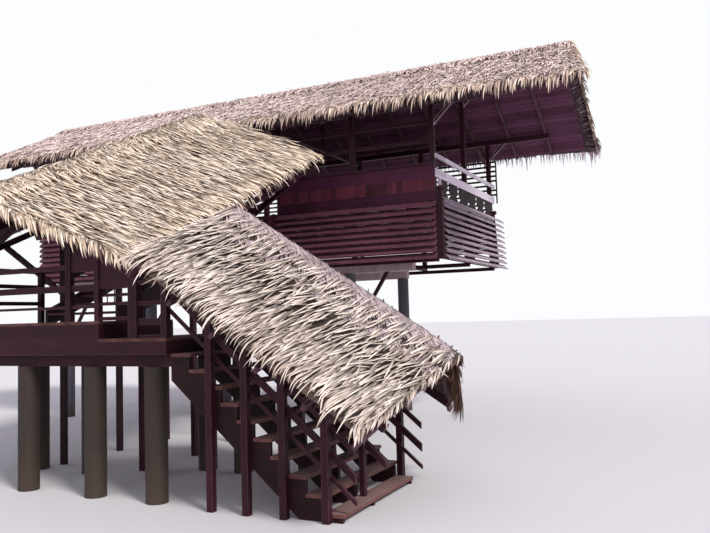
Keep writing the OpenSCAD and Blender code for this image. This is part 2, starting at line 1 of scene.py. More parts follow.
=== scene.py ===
# %% [markdown]
# # A stilt house with three thatched roofs
# The house is an open timber pavilion on round columns. Two roofed flights of steps lead
# up to it, with a railed landing between them. The timbers come from the CAD frame, so
# this lesson gives them a stained finish, lays boards where the frame has plates, and
# thatches the roofs with single palm leaves, because a thatch is what its leaves make it.

# %% Load the frame
import math

import bmesh
import bpy
import numpy as np
from mathutils import Matrix, Vector


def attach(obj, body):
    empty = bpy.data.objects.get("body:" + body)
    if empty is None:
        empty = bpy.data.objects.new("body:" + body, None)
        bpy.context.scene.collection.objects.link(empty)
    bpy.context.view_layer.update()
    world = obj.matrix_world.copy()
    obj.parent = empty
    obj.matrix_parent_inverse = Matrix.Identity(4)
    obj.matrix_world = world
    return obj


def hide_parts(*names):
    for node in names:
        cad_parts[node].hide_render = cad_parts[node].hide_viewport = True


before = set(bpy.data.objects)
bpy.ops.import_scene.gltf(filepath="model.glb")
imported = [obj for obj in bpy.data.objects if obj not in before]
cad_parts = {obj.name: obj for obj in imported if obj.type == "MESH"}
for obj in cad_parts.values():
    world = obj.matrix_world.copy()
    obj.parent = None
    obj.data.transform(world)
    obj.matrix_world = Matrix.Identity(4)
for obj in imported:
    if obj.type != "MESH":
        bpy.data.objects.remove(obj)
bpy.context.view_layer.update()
scene = bpy.context.scene

# %% [markdown]
# The frame has its origin at the foot of one column. It is easier to think in house
# measures: x = 0 is the front wall, y = 0 the near long wall, z = 0 the ground. Adding one
# offset turns house measures into places in the frame.

# %% House measures
HOUSE = np.array([2.4, -0.6, 0.0])
WALL_GAP = 4.65
MID_Y = WALL_GAP / 2
BAY = 1.95
HOUSE_LENGTH = 6 * BAY
HALF_POST = 0.055
FLOOR_Z = 5.12
MAIN_RISE = 0.5


def in_frame(point):
    """A point in house measures, as a vector in the frame."""
    return Vector(np.asarray(point, float) + HOUSE)


print("house:", HOUSE_LENGTH, "m long,", WALL_GAP, "m between walls, floor at", FLOOR_Z)

# %% [markdown]
# ## Camera
# The camera stands where the photograph was taken from: below the floor, near the foot of
# the steps, turned a little to the left and up. Its three axes are worked out once, so it
# needs no target object.

# %% Camera at the photograph's viewing angle
TURN, PITCH, ROLL = math.radians(25.2), math.radians(3.82), math.radians(1.60)
FOCAL_PIXELS, PHOTO_WIDTH = 750, 710
CAMERA_PLACE = (5.33, -15.5, 2.62)
across = Vector((math.cos(TURN), math.sin(TURN), 0))
ahead_level = Vector((-math.sin(TURN), math.cos(TURN), 0))
up_axis = Vector((0, 0, 1))
ahead = math.cos(PITCH) * ahead_level + math.sin(PITCH) * up_axis
upright = math.cos(PITCH) * up_axis - math.sin(PITCH) * ahead_level
right = math.cos(ROLL) * across - math.sin(ROLL) * upright
upward = math.sin(ROLL) * across + math.cos(ROLL) * upright
camera_data = bpy.data.cameras.new("camera")
camera_data.sensor_width = 36
camera_data.lens = FOCAL_PIXELS / PHOTO_WIDTH * camera_data.sensor_width
camera_data.clip_end = 500
camera = bpy.data.objects.new("camera", camera_data)
scene.collection.objects.link(camera)
camera.matrix_world = Matrix.Translation(in_frame(CAMERA_PLACE)) @ Matrix(
    (right, upward, -ahead)).transposed().to_4x4()
scene.camera = camera
print("camera at", tuple(round(c, 2) for c in camera.location), "lens", round(camera_data.lens, 2))

# %% [markdown]
# ## Helpers for shader nodes
# A finish is a tree of nodes, and most of them are noise, sums and mixes. A few small
# functions add a node, set or link its inputs, and hand back its result. A material then
# reads like a recipe, and each number stands beside the name of what it sets.

# %% Nodes by one call each
def add(tree, kind, **settings):
    """A node with its properties, and its inputs by name or number, set or linked."""
    node = tree.nodes.new(kind)
    for key, value in settings.items():
        if key != "inputs":
            setattr(node, key, value)
    for key, value in settings.get("inputs", {}).items():
        if isinstance(value, bpy.types.NodeSocket):
            tree.links.new(value, node.inputs[key])
        else:
            node.inputs[key].default_value = value
    return node


def math_node(tree, operation, a, b, clamp=False):
    return add(tree, "ShaderNodeMath", operation=operation, use_clamp=clamp,
               inputs={0: a, 1: b}).outputs[0]


def mix_colour(tree, factor, a, b):
    """From colour a to colour b, each a socket or its red, green and blue."""
    a, b = [(*colour, 1) if isinstance(colour, tuple) else colour for colour in (a, b)]
    return add(tree, "ShaderNodeMix", data_type="RGBA", inputs={
        "Factor": factor, "A": a, "B": b}).outputs["Result"]


def scale_colour(tree, colour, factor):
    return add(tree, "ShaderNodeVectorMath", operation="SCALE", inputs={
        0: colour, "Scale": factor}).outputs[0]


def span(tree, value, low, high, to_low, to_high):
    """A value stretched from one range to another."""
    return add(tree, "ShaderNodeMapRange", inputs={
        "Value": value, "From Min": low, "From Max": high, "To Min": to_low,
        "To Max": to_high}).outputs[0]


def bump(tree, height, strength, distance):
    return add(tree, "ShaderNodeBump", inputs={
        "Height": height, "Strength": strength, "Distance": distance}).outputs[0]


def place_on(tree):
    """Where a point is on the object, which for this house is its place in the frame."""
    return add(tree, "ShaderNodeTexCoord").outputs["Object"]


def true_normal(tree):
    return add(tree, "ShaderNodeNewGeometry").outputs["Normal"]


def part_of(tree, vector, axis):
    return add(tree, "ShaderNodeSeparateXYZ", inputs={0: vector}).outputs[axis]


def point_value(tree, label):
    """A value that the points of a mesh carry, such as the tone of a board."""
    return add(tree, "ShaderNodeAttribute", attribute_name=label).outputs["Fac"]


def effect(tree, group, values):
    """A shared node group with its own values: what it puts out."""
    return add(tree, "ShaderNodeGroup", node_tree=group, inputs=values).outputs


print("node helpers ready")


# %% Materials and their shaders
def new_material(name):
    """A material, its node tree and its shader."""
    material = bpy.data.materials.new(name)
    material.use_nodes = True
    return material, material.node_tree, material.node_tree.nodes["Principled BSDF"]


def feed(tree, shader, colour, roughness, normal):
    """Links what varies over the surface to the shader."""
    for label, value in (("Base Color", colour), ("Roughness", roughness), ("Normal", normal)):
        tree.links.new(value, shader.inputs[label])


print("materials before the first finish:", len(bpy.data.materials))

# %% [markdown]
# ## Studio
# A house this dark needs a broad soft light. A sun with a wide disc gives soft shadows,
# and the world fills them. What the camera sees as background is set apart from what
# lights the house, so the background can be white while the light stays plain.

# %% World
world = bpy.data.worlds.new("studio")
scene.world = world
world.use_nodes = True
sky = world.node_tree
sky.nodes.clear()
ray = add(sky, "ShaderNodeLightPath").outputs
seen = math_node(sky, "MAXIMUM", ray["Is Camera Ray"], ray["Is Glossy Ray"])
seen = math_node(sky, "MAXIMUM", seen, ray["Is Transmission Ray"])
fill = add(sky, "ShaderNodeBackground", inputs={"Color": (0.93, 0.87, 1.0, 1), "Strength": 0.60})
backdrop = add(sky, "ShaderNodeBackground", inputs={
    "Color": (0.97, 0.98, 1.0, 1), "Strength": 1.0})
sky_mix = add(sky, "ShaderNodeMixShader", inputs={
    0: seen, 1: fill.outputs[0], 2: backdrop.outputs[0]})
add(sky, "ShaderNodeOutputWorld", inputs={0: sky_mix.outputs[0]})
scene.view_settings.view_transform = "Standard"
print("world:", len(sky.nodes), "nodes")


# %% Suns
def add_sun(name, strength, colour, direction, disc):
    """A sun that shines along a direction, with a disc of so many degrees."""
    data = bpy.data.lights.new(name, "SUN")
    data.energy = strength
    data.color = colour
    data.angle = math.radians(disc)
    lamp = bpy.data.objects.new(name, data)
    scene.collection.objects.link(lamp)
    lamp.rotation_euler = Vector(direction).to_track_quat("-Z", "Y").to_euler()
    print(name, "sun of strength", strength)


add_sun("key", strength=2.7, colour=(1.0, 0.965, 0.93), direction=(-0.90, 0.44, -0.97), disc=14)
add_sun("side", strength=0.45, colour=(0.94, 0.90, 1.0), direction=(-0.3, 1.0, -0.5), disc=50)

# %% Floor
FLOOR_HALF = 220
FLOOR_DROP = 0.002
corners = [(x * FLOOR_HALF, y * FLOOR_HALF, 0) for x, y in ((-1, -1), (1, -1), (1, 1), (-1, 1))]
floor_mesh = bpy.data.meshes.new("studio_floor")
floor_mesh.from_pydata(corners, [], [(0, 1, 2, 3)])
studio_floor = bpy.data.objects.new("studio_floor", floor_mesh)
studio_floor.location = (0, 0, -FLOOR_DROP)
scene.collection.objects.link(studio_floor)
floor_paint, _, floor_shader = new_material("pale_floor")
floor_shader.inputs["Base Color"].default_value = (0.66, 0.66, 0.68, 1)
floor_shader.inputs["Roughness"].default_value = 0.9
floor_mesh.materials.append(floor_paint)
print("floor:", 2 * FLOOR_HALF, "m wide, so that its edge is far behind the house")

# %% [markdown]
# ## Effects that several finishes share
# Wood shows fine streaks along its length, and each board takes the stain a little
# differently. Weather leaves dust on faces that look up and bleaches patches; the same
# mask paints sky light on upper faces. Arrises lose their stain first and carry a painted
# highlight, so they show paler. Each effect is a node group, so every material can
# use it with its own numbers.

# %% An empty node group
VALUE, VECTOR = "NodeSocketFloat", "NodeSocketVector"


def new_group(name, inputs, outputs):
    """An empty node group: the group, what comes into it, and where its results go."""
    group = bpy.data.node_groups.new(name, "ShaderNodeTree")
    for label, kind, value in inputs:
        socket = group.interface.new_socket(label, in_out="INPUT", socket_type=kind)
        socket.default_value = value
    for label in outputs:
        group.interface.new_socket(label, in_out="OUTPUT", socket_type=VALUE)
    return (group, group.nodes.new("NodeGroupInput").outputs,
            group.nodes.new("NodeGroupOutput").inputs)


print("kinds of socket:", VALUE, VECTOR)


# %% Wood grain
grain, grain_in, grain_out = new_group(
    "wood_grain",
    [("Scale", VECTOR, (1, 1, 1)), ("Board", VECTOR, (1, 1, 1)), ("Contrast", VALUE, 0.5)],
    ["Streak", "Board tone", "Height"])
grain_place = place_on(grain)
stretched = add(grain, "ShaderNodeVectorMath", operation="MULTIPLY",
                inputs={0: grain_place, 1: grain_in["Scale"]})
fine = add(grain, "ShaderNodeTexNoise", inputs={
    "Vector": stretched.outputs[0], "Scale": 1.0, "Detail": 5.0, "Roughness": 0.62,
    "Distortion": 0.6})
by_board = add(grain, "ShaderNodeVectorMath", operation="MULTIPLY",
               inputs={0: grain_place, 1: grain_in["Board"]})
board_number = add(grain, "ShaderNodeVectorMath", operation="FLOOR",
                   inputs={0: by_board.outputs[0]})
tone = add(grain, "ShaderNodeTexWhiteNoise", noise_dimensions="3D",
           inputs={"Vector": board_number.outputs[0]})
centred = math_node(grain, "SUBTRACT", fine.outputs["Fac"], 0.5)
spread = math_node(grain, "MULTIPLY", centred, grain_in["Contrast"])
for label, value in (("Streak", math_node(grain, "ADD", spread, 0.5, clamp=True)),
                     ("Board tone", tone.outputs["Value"]), ("Height", fine.outputs["Fac"])):
    grain.links.new(value, grain_out[label])
print(grain.name, "group:", len(grain.nodes), "nodes")

# %% Weathering, with sky light painted on upper faces
weather, weather_and_sky_light_in, weather_and_sky_light_out = new_group(
    "weathering", [("Patch scale", VALUE, 1.5), ("Dust", VALUE, 0.4), ("Fade", VALUE, 0.4)],
    ["Dust mask", "Fade mask"])
patches = add(weather, "ShaderNodeTexNoise", inputs={
    "Vector": place_on(weather), "Scale": weather_and_sky_light_in["Patch scale"], "Detail": 6.0,
    "Roughness": 0.65}).outputs["Fac"]
# Faces that look up take dust, and painted sky light with it.
facing_up = math_node(weather, "MULTIPLY", part_of(weather, true_normal(weather), "Z"),
                      weather_and_sky_light_in["Dust"], clamp=True)
dusty = math_node(weather, "MULTIPLY", facing_up, patches, clamp=True)
faded = math_node(weather, "MULTIPLY", span(weather, patches, 0.42, 0.68, 0.0, 1.0),
                  weather_and_sky_light_in["Fade"], clamp=True)
weather.links.new(dusty, weather_and_sky_light_out["Dust mask"])
weather.links.new(faded, weather_and_sky_light_out["Fade mask"])
print(weather.name, "group:", len(weather.nodes), "nodes")

# %% Worn arrises, with a painted highlight
arris, arris_in, arris_out = new_group(
    "worn_and_lit_arris", [("Width", VALUE, 0.015), ("Amount", VALUE, 1.0)], ["Mask"])
rounded = add(arris, "ShaderNodeBevel", samples=6, inputs={"Radius": arris_in["Width"]})
agree = add(arris, "ShaderNodeVectorMath", operation="DOT_PRODUCT", inputs={
    0: rounded.outputs[0], 1: true_normal(arris)})
edge = span(arris, agree.outputs["Value"], 0.995, 0.86, 0.0, 1.0)
edge_noise = add(arris, "ShaderNodeTexNoise", inputs={
    "Vector": place_on(arris), "Scale": 9.0, "Detail": 3.0})
edge_breakup = span(arris, edge_noise.outputs["Fac"], 0.35, 0.65, 0.25, 1.0)
# The pale edge this masks is wear and a painted highlight.
worn_and_lit_edge = math_node(arris, "MULTIPLY", edge, edge_breakup)
arris.links.new(math_node(arris, "MULTIPLY", worn_and_lit_edge, arris_in["Amount"], clamp=True),
                arris_out["Mask"])
print(arris.name, "group:", len(arris.nodes), "nodes")

# %% [markdown]
# ## Timber finishes
# The house is stained a dark reddish brown. A material has a dark and a light stain for
# its streaks, a board tone so neighbours differ, and a paler colour on upper faces, which
# is dust and painted sky light. Grain must run along a member, so a finish is made once
# for each direction of the grain. The tone comes from a board's place in the house, or
# from the board itself where boards are laid one by one further on.

# %% Timber material
GRAIN = {"x": (2.2, 26, 26), "y": (26, 2.2, 26), "z": (26, 26, 2.2)}


def timber(name, dark, light, along, board=(0.5, 7, 7), own_tone=False, tones=(0.72, 1.3),
           contrast=1.3, dust=(0.20, 0.12, 0.13), dust_amount=0.4, fade=0.30, edges=0.35,
           edge_colour=(0.34, 0.19, 0.20), edge_width=0.016, roughness=0.52, shine=0.16):
    """A stained timber with grain along one axis, and tones by board or by place."""
    material, tree, shader = new_material(name)
    wood = effect(tree, grain, {"Scale": GRAIN[along], "Board": board, "Contrast": contrast})
    worn_and_lit = effect(tree, weather, {"Patch scale": 1.3, "Dust": dust_amount, "Fade": fade})
    rubbed_and_lit = effect(tree, arris, {"Width": edge_width, "Amount": edges})
    board_tone = point_value(tree, "board_tone") if own_tone else wood["Board tone"]
    stain = mix_colour(tree, wood["Streak"], dark, light)
    toned = scale_colour(tree, stain, span(tree, board_tone, 0.0, 1.0, *tones))
    bleached = tuple(min(1.0, part * 1.3 + 0.004) for part in light)
    faded_wood = mix_colour(tree, worn_and_lit["Fade mask"], toned, bleached)
    # Upper faces take dust and painted sky light; arrises take wear and a painted highlight.
    dusted = mix_colour(tree, worn_and_lit["Dust mask"], faded_wood, dust)
    feed(tree, shader, mix_colour(tree, rubbed_and_lit["Mask"], dusted, edge_colour),
         span(tree, wood["Height"], 0.0, 1.0, roughness - 0.08, roughness + 0.16),
         bump(tree, wood["Height"], strength=0.35, distance=0.006))
    shader.inputs["Specular IOR Level"].default_value = shine
    return material


print("streaks a metre, across and along the grain:", max(GRAIN["x"]), min(GRAIN["x"]))

# %% Stains of the frame and the steps
DARK_STAIN = (0.012, 0.0026, 0.0065), (0.044, 0.0105, 0.0190)
TREAD_STAIN = (0.060, 0.022, 0.021), (0.180, 0.078, 0.066)
# The pale upper faces of the treads are dust and painted sky light.
TREAD_DUST_AND_SKY_LIGHT = {"dust": (0.42, 0.32, 0.31), "dust_amount": 0.8}
dark_x = timber("dark_timber_x", *DARK_STAIN, along="x")
dark_y = timber("dark_timber_y", *DARK_STAIN, along="y")
dark_z = timber("dark_timber_z", *DARK_STAIN, along="z", board=(1.1, 1.1, 0.05))
tread_wood = timber("tread_timber", *TREAD_STAIN, along="y", board=(3.8, 0.3, 4.4), **TREAD_DUST_AND_SKY_LIGHT)
tread_wood_x = timber("tread_timber_x", *TREAD_STAIN, along="x", board=(0.3, 2.43, 5.7),
                      **TREAD_DUST_AND_SKY_LIGHT)
# The lower strings are made almost black, a painted shade where they stand in shadow.
string_wood_painted_shade = timber("string_timber_painted_shade", (0.006, 0.0018, 0.003), (0.024, 0.0065, 0.008), along="x",
                     edges=0.3)
rafter_wood = timber("rafter_timber", (0.034, 0.013, 0.022), (0.110, 0.050, 0.066), along="y",
                     edges=0.15, edge_colour=(0.24, 0.13, 0.10), dust_amount=0.1)
# The near-white arrises of the braces are wear and a painted highlight.
brace_wood = timber("brace_timber", (0.016, 0.004, 0.009), (0.060, 0.018, 0.028), along="z",
                    edges=1.0, edge_colour=(0.85, 0.70, 0.76), edge_width=0.034)
print("frame stains:", [m.name for m in bpy.data.materials if "timber" in m.name])

# %% Finishes of the slats, the front rails and the balusters
# Near slats: the pink arrises are wear and a painted highlight.
slat_near = timber("slat_timber", (0.022, 0.0045, 0.017), (0.110, 0.028, 0.058), along="x",
                   board=(0.3, 1, 7.0), dust=(0.36, 0.17, 0.20), dust_amount=0.6, edges=0.6,
                   edge_colour=(0.48, 0.25, 0.27))
# Front slats: the pale upper faces are dust and painted sky light, the pale arrises wear and a
# painted highlight.
slat_front = timber("front_slat_timber", (0.028, 0.010, 0.024), (0.135, 0.066, 0.110), along="y",
                    board=(1, 0.3, 7), dust=(0.80, 0.69, 0.79), dust_amount=1.7, edges=0.75,
                    edge_colour=(0.84, 0.70, 0.80))
# The front rails are pale: part pale paint, part a painted reflection of the sky.
pale_rail_and_reflection = timber("pale_rail_and_reflection_timber", (0.50, 0.42, 0.50), (0.78, 0.70, 0.80), along="y",
                   board=(1, 0.2, 3), contrast=0.8, dust=(0.82, 0.78, 0.86), edges=0.0,
                   roughness=0.5)
baluster_wood = timber("baluster_timber", (0.005, 0.0015, 0.004), (0.020, 0.006, 0.012),
                       along="z", dust_amount=0.0, edges=0.1, shine=0.08)
print("slat finishes:", slat_near.name, slat_front.name)

# %% Stains of the boards
WALL_STAIN = (0.024, 0.0048, 0.016), (0.084, 0.018, 0.046)
wall_timber, back_timber = [
    timber(name, *WALL_STAIN, along=along, own_tone=True, tones=(0.55, 1.5), edges=0.15)
    for name, along in (("wall_boards", "x"), ("back_wall_timber", "y"))]
band_timber = timber("band_boards", (0.032, 0.0048, 0.017), (0.125, 0.027, 0.040), along="z",
                     own_tone=True, tones=(0.35, 1.7), edges=0.15)
floor_x, floor_y = [
    timber(f"floor_timber_{axis}", (0.040, 0.014, 0.014), (0.120, 0.048, 0.040), along=axis,
           own_tone=True, tones=(0.6, 1.5), dust=(0.34, 0.27, 0.26)) for axis in "xy"]
soffit_wood = timber("soffit_timber", (0.050, 0.016, 0.036), (0.140, 0.053, 0.096), along="x",
                     own_tone=True, tones=(0.6, 1.5), dust_amount=0.0, edges=0.6,
                     edge_colour=(0.22, 0.09, 0.11), roughness=0.6, shine=0.05)
print("materials so far:", len(bpy.data.materials))

# %% [markdown]
# ## Concrete
# The round columns and their beams are grey, with rain streaks that run down. The shorter
# piers under the landing are browner, because soil splashes on them. The grain group
# serves again: stretched the other way, its streaks are the marks of running water.

# %% Concrete material
SOIL = (0.048, 0.031, 0.022)


def concrete(name, dark, light, stain, splash_height):
    """Cast concrete with rain streaks, stains, and soil splashed up from its foot."""
    material, tree, shader = new_material(name)
    runs = effect(tree, grain, {
        "Scale": (7, 7, 0.7), "Board": (0.1, 0.1, 0.1), "Contrast": 1.6})
    worn_and_lit = effect(tree, weather, {"Patch scale": 3.0, "Dust": 0.5, "Fade": 0.8})
    place = place_on(tree)
    height = part_of(tree, place, "Z")
    grit = add(tree, "ShaderNodeTexNoise", inputs={"Vector": place, "Scale": 60.0, "Detail": 4.0})
    body = mix_colour(tree, runs["Streak"], dark, light)
    stained = mix_colour(tree, worn_and_lit["Fade mask"], body, stain)
    feed(tree, shader,
         mix_colour(tree, span(tree, height, splash_height, 0.0, 0.0, 0.85), stained, SOIL),
         span(tree, runs["Height"], 0.0, 1.0, 0.6, 0.9),
         bump(tree, grit.outputs["Fac"], strength=0.4, distance=0.004))
    return material


column_paint = concrete("column_concrete", (0.045, 0.042, 0.060), (0.120, 0.115, 0.145),
                        (0.080, 0.070, 0.080), splash_height=0.5)
beam_paint = concrete("beam_concrete", (0.33, 0.225, 0.245), (0.66, 0.51, 0.53),
                      (0.46, 0.34, 0.35), splash_height=0.5)
pier_paint = concrete("pier_concrete", (0.014, 0.008, 0.005), (0.042, 0.025, 0.017),
                      (0.022, 0.014, 0.010), splash_height=0.7)
print("concrete:", column_paint.name, beam_paint.name, pier_paint.name)

# %% [markdown]
# ## The pale end baluster
# The sawn balusters of the front end are dark, but the one at the near corner is pale. All
# of them are one node of the frame, so the material itself finds the place: a mask steps
# from dark to pale at one distance along the wall.

# %% The pale end baluster
PALE_END, PALE_BLEND = 0.30, 0.01
pale_tree = baluster_wood.node_tree
stain_socket = pale_tree.nodes["Principled BSDF"].inputs["Base Color"]
along_wall = part_of(pale_tree, place_on(pale_tree), "Y")
near_end = span(pale_tree, along_wall, PALE_END + PALE_BLEND + HOUSE[1], PALE_END + HOUSE[1],
                0.0, 0.8)
pale_tree.links.new(
    mix_colour(pale_tree, near_end, stain_socket.links[0].from_socket, (0.62, 0.50, 0.56)),
    stain_socket)
print("balusters are pale up to y =", PALE_END)

# %% [markdown]
# ## Finishes on the frame's own timbers
# Posts, rails, slats, rafters and steps have their true shapes in the frame already, and
# making them again would only risk moving them. So they get a material and nothing else. The
# letter of a dark finish is the direction in which most of its members run.

# %% Finishes on the frame's own timbers
def finish(material, *nodes):
    """Gives nodes of the frame a material, and leaves their shapes and places alone."""
    for node in nodes:
        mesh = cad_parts[node].data
        mesh.materials.clear()
        mesh.materials.append(material)
    print(f"{material.name}: {', '.join(nodes)}")


finish(column_paint, "round_columns")
finish(beam_paint, "concrete_beams")
finish(pier_paint, "landing_piers")
finish(dark_x, "lower_frame", "near_wall_sill", "near_wall_rails", "far_side_bars",
       "wall_plates", "ridge_beam", "flight_roof_struts", "landing_frame", "landing_rails",
       "lower_flight_rails", "stair_roof_beams")
finish(dark_y, "floor_frame", "upper_flight_strings", "upper_flight_rails", "flight_roof_beams")
finish(dark_z, "column_braces", "wall_posts", "ridge_posts", "front_stub_posts",
       "upper_flight_posts", "landing_posts", "lower_flight_posts")
finish(slat_near, "side_skirt_slats")
finish(slat_front, "front_skirt_slats")
finish(pale_rail_and_reflection, "front_rails")
finish(baluster_wood, "front_cutout_balusters")
finish(rafter_wood, "roof_rafters", "flight_rafters", "stair_rafters")
finish(brace_wood, "knee_braces")
finish(tread_wood_x, "upper_flight_treads")
finish(tread_wood, "lower_flight_treads")
finish(string_wood_painted_shade, "lower_flight_strings")

# %% [markdown]
# ## Boarding
# The frame gives the near and back walls, the floors and the soffit as plain plates. On the
# real house they are boards, and the joints and the change of tone from one to the next
# are what the eye reads. A board is a box with its long edges planed off. All boards of
# one surface are one mesh, and each carries its own tone as a value on its points, which
# the material reads.

# %% A piece of the house
def add_values(mesh, label, values):
    """One number for each point of a mesh, for its material to read."""
    mesh.attributes.new(label, "FLOAT", "POINT").data.foreach_set(
        "value", np.asarray(values, np.float32))


def add_piece(name, mesh, material, slot, *nodes):
    """Links a mesh as a piece that stands in for nodes of the frame, if any are named."""
    mesh.materials.append(material)
    thing = bpy.data.objects.new(name, mesh)
    scene.collection.objects.link(thing)
    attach(thing, "root")
    if nodes:
        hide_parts(*nodes)


class Place:
    """Local axes in the house: a point, a forward and an upright direction."""

    def __init__(self, origin, forward, upright):
        forward, upright = np.array(forward, float), np.array(upright, float)
        self.origin = np.array(origin, float)
        self.axes = np.array([forward, np.cross(upright, forward), upright])

    def out(self, local):
        """Local points as points of the frame."""
        return local @ self.axes + self.origin + HOUSE


LEVEL = Place((0, 0, 0), (1, 0, 0), (0, 0, 1))
print("level axes:", LEVEL.axes.tolist())

# %% Boards as one mesh
PLANED = 0.006


def board_mesh(name, place, boards, material, slot, *nodes):
    """One mesh of boards, each given by its low and high corner, grain axis and tone."""
    points, faces, tones = [], [], []
    for low, high, axis, tone_value in boards:
        u, v = [(1, 2), (2, 0), (0, 1)][axis]
        c = min(PLANED, 0.2 * min(high[u] - low[u], high[v] - low[v]))
        section = [(low[u] + c, low[v]), (high[u] - c, low[v]), (high[u], low[v] + c),
                   (high[u], high[v] - c), (high[u] - c, high[v]), (low[u] + c, high[v]),
                   (low[u], high[v] - c), (low[u], low[v] + c)]
        sides = len(section)
        first = len(points)
        other = first + sides
        for end in (low[axis], high[axis]):
            for a, b in section:
                point = [0.0, 0.0, 0.0]
                point[axis], point[u], point[v] = end, a, b
                points.append(point)
        for k in range(sides):
            n = (k + 1) % sides
            faces.append([first + k, first + n, other + n, other + k])
        faces.append([first + k for k in reversed(range(sides))])
        faces.append([other + k for k in range(sides)])
        tones += [tone_value] * 2 * sides
    mesh = bpy.data.meshes.new(name)
    mesh.from_pydata(place.out(np.array(points)).tolist(), [], faces)
    add_values(mesh, "board_tone", tones)
    add_piece(name, mesh, material, slot, *nodes)
    print(f"{name}: {len(boards)} boards")


def cut_boards(low, high, chance, size, gap, jitter=0.0):
    """Cuts a length in boards of about a size, with a gap between neighbours."""
    edges, at = [low], low
    while at + 1.5 * size < high:
        at += size * (1 + jitter * (chance.random() - 0.5))
        edges.append(at)
    edges.append(high)
    return [(a + gap / 2, b - gap / 2) for a, b in zip(edges[:-1], edges[1:])]


print("one metre in boards of 0.3:",
      cut_boards(0, 1, np.random.default_rng(1), size=0.3, gap=0.01))

# %% [markdown]
# The near wall has a band of short upright boards between level ones. The bay between its
# two stretches stays open, because the upper flight comes in there. Band boards stand a
# few millimetres proud of one another, as hand-laid ones do, which gives each a faint
# shadow line. The back wall has level boards only.

# %% Wall boards
WALL_FOOT, BAND_FOOT, BAND_HEAD, WALL_HEAD = 5.10, 5.33, 5.60, 5.90
LOW_JOINT, HIGH_JOINT = 5.215, 5.75
COURSES = ((WALL_FOOT, LOW_JOINT), (LOW_JOINT, BAND_FOOT), (BAND_HEAD, HIGH_JOINT),
           (HIGH_JOINT, WALL_HEAD))
LEVEL_FACE, BACK_FACE, BAND_FACE, BAND_PLAY = -0.080, -0.025, -0.088, 0.004
BOARD_LENGTH = 3.9
BACK_X = -HOUSE_LENGTH - HALF_POST
chance = np.random.default_rng(3)
level_boards, band = [], []
for low_x, high_x in ((-2 * BAY - HALF_POST, HALF_POST), (BACK_X, -3 * BAY + HALF_POST)):
    for a, b in cut_boards(low_x, high_x, chance, size=BOARD_LENGTH, gap=0.001):
        for low_z, high_z in COURSES:
            level_boards.append(((a, LEVEL_FACE, low_z), (b, -HALF_POST, high_z), 0,
                                 chance.random()))
    for a, b in cut_boards(low_x, high_x, chance, size=0.125, gap=0.001, jitter=0.3):
        face = BAND_FACE + BAND_PLAY * chance.random()
        band.append(((a, face, BAND_FOOT), (b, -HALF_POST, BAND_HEAD), 2, chance.random()))
board_mesh("near_wall_level_boards", LEVEL, level_boards, wall_timber, "wall_boards",
           "near_wall_boards")
board_mesh("near_wall_band", LEVEL, band, band_timber, "wall_boards", "near_wall_boards")
back = [((BACK_X + BACK_FACE, -HALF_POST, a), (BACK_X, WALL_GAP + HALF_POST, b), 1,
         chance.random()) for a, b in cut_boards(WALL_FOOT, WALL_HEAD, chance, size=0.133,
                                                 gap=0.003)]
board_mesh("back_wall_level_boards", LEVEL, back, back_timber, "wall_boards",
           "back_wall_boards")

# %% [markdown]
# The house floor runs along the house and stops short of the two ridge posts. One more
# board is the threshold in the open bay. The landing has two levels, and its boards run
# across, towards the house.

# %% Floor boards
FLOOR_THICK = 0.04
POST_CLEAR, POST_REACH = 0.115, 0.13
THRESHOLD_GAP = 0.002
house_floor = [((-3 * BAY + HALF_POST, -HALF_POST, FLOOR_Z - FLOOR_THICK),
                (-2 * BAY - HALF_POST, HALF_POST - THRESHOLD_GAP, FLOOR_Z), 0, 0.5)]
for a, b in cut_boards(HALF_POST, WALL_GAP - HALF_POST, chance, size=0.145, gap=0.005):
    clear = POST_CLEAR if abs((a + b) / 2 - MID_Y) < POST_REACH else 0.0
    for c, d in cut_boards(BACK_X + clear, HALF_POST - clear, chance, size=BOARD_LENGTH,
                           gap=0.004, jitter=0.4):
        house_floor.append(((c, a, FLOOR_Z - FLOOR_THICK), (d, b, FLOOR_Z), 0, chance.random()))
board_mesh("house_floor_boards", LEVEL, house_floor, floor_x, "floor_timber", "floor_boards")

# Each level of the landing: its two ends, its far edge and its top.
LANDING_LEVELS = ((-3.0, -1.72, -4.27, 2.39), (-6.11, -3.0, -5.18, 2.66))
LANDING_NEAR_Y = -6.93
landing_boards = []
for low_x, high_x, high_y, top in LANDING_LEVELS:
    for a, b in cut_boards(low_x, high_x, chance, size=0.16, gap=0.006):
        landing_boards.append(((a, LANDING_NEAR_Y, top - FLOOR_THICK), (b, high_y, top), 1,
                               chance.random()))
board_mesh("landing_floor_boards", LEVEL, landing_boards, floor_y, "floor_timber",
           "landing_floor")

# %% [markdown]
# From below one looks up at the soffit more than at the thatch, so it has boards of its
# own. They lie on the rafters and run the whole length of the roof. Each slope gets local
# axes that tilt with it, so the boards can be cut as if they lay flat.

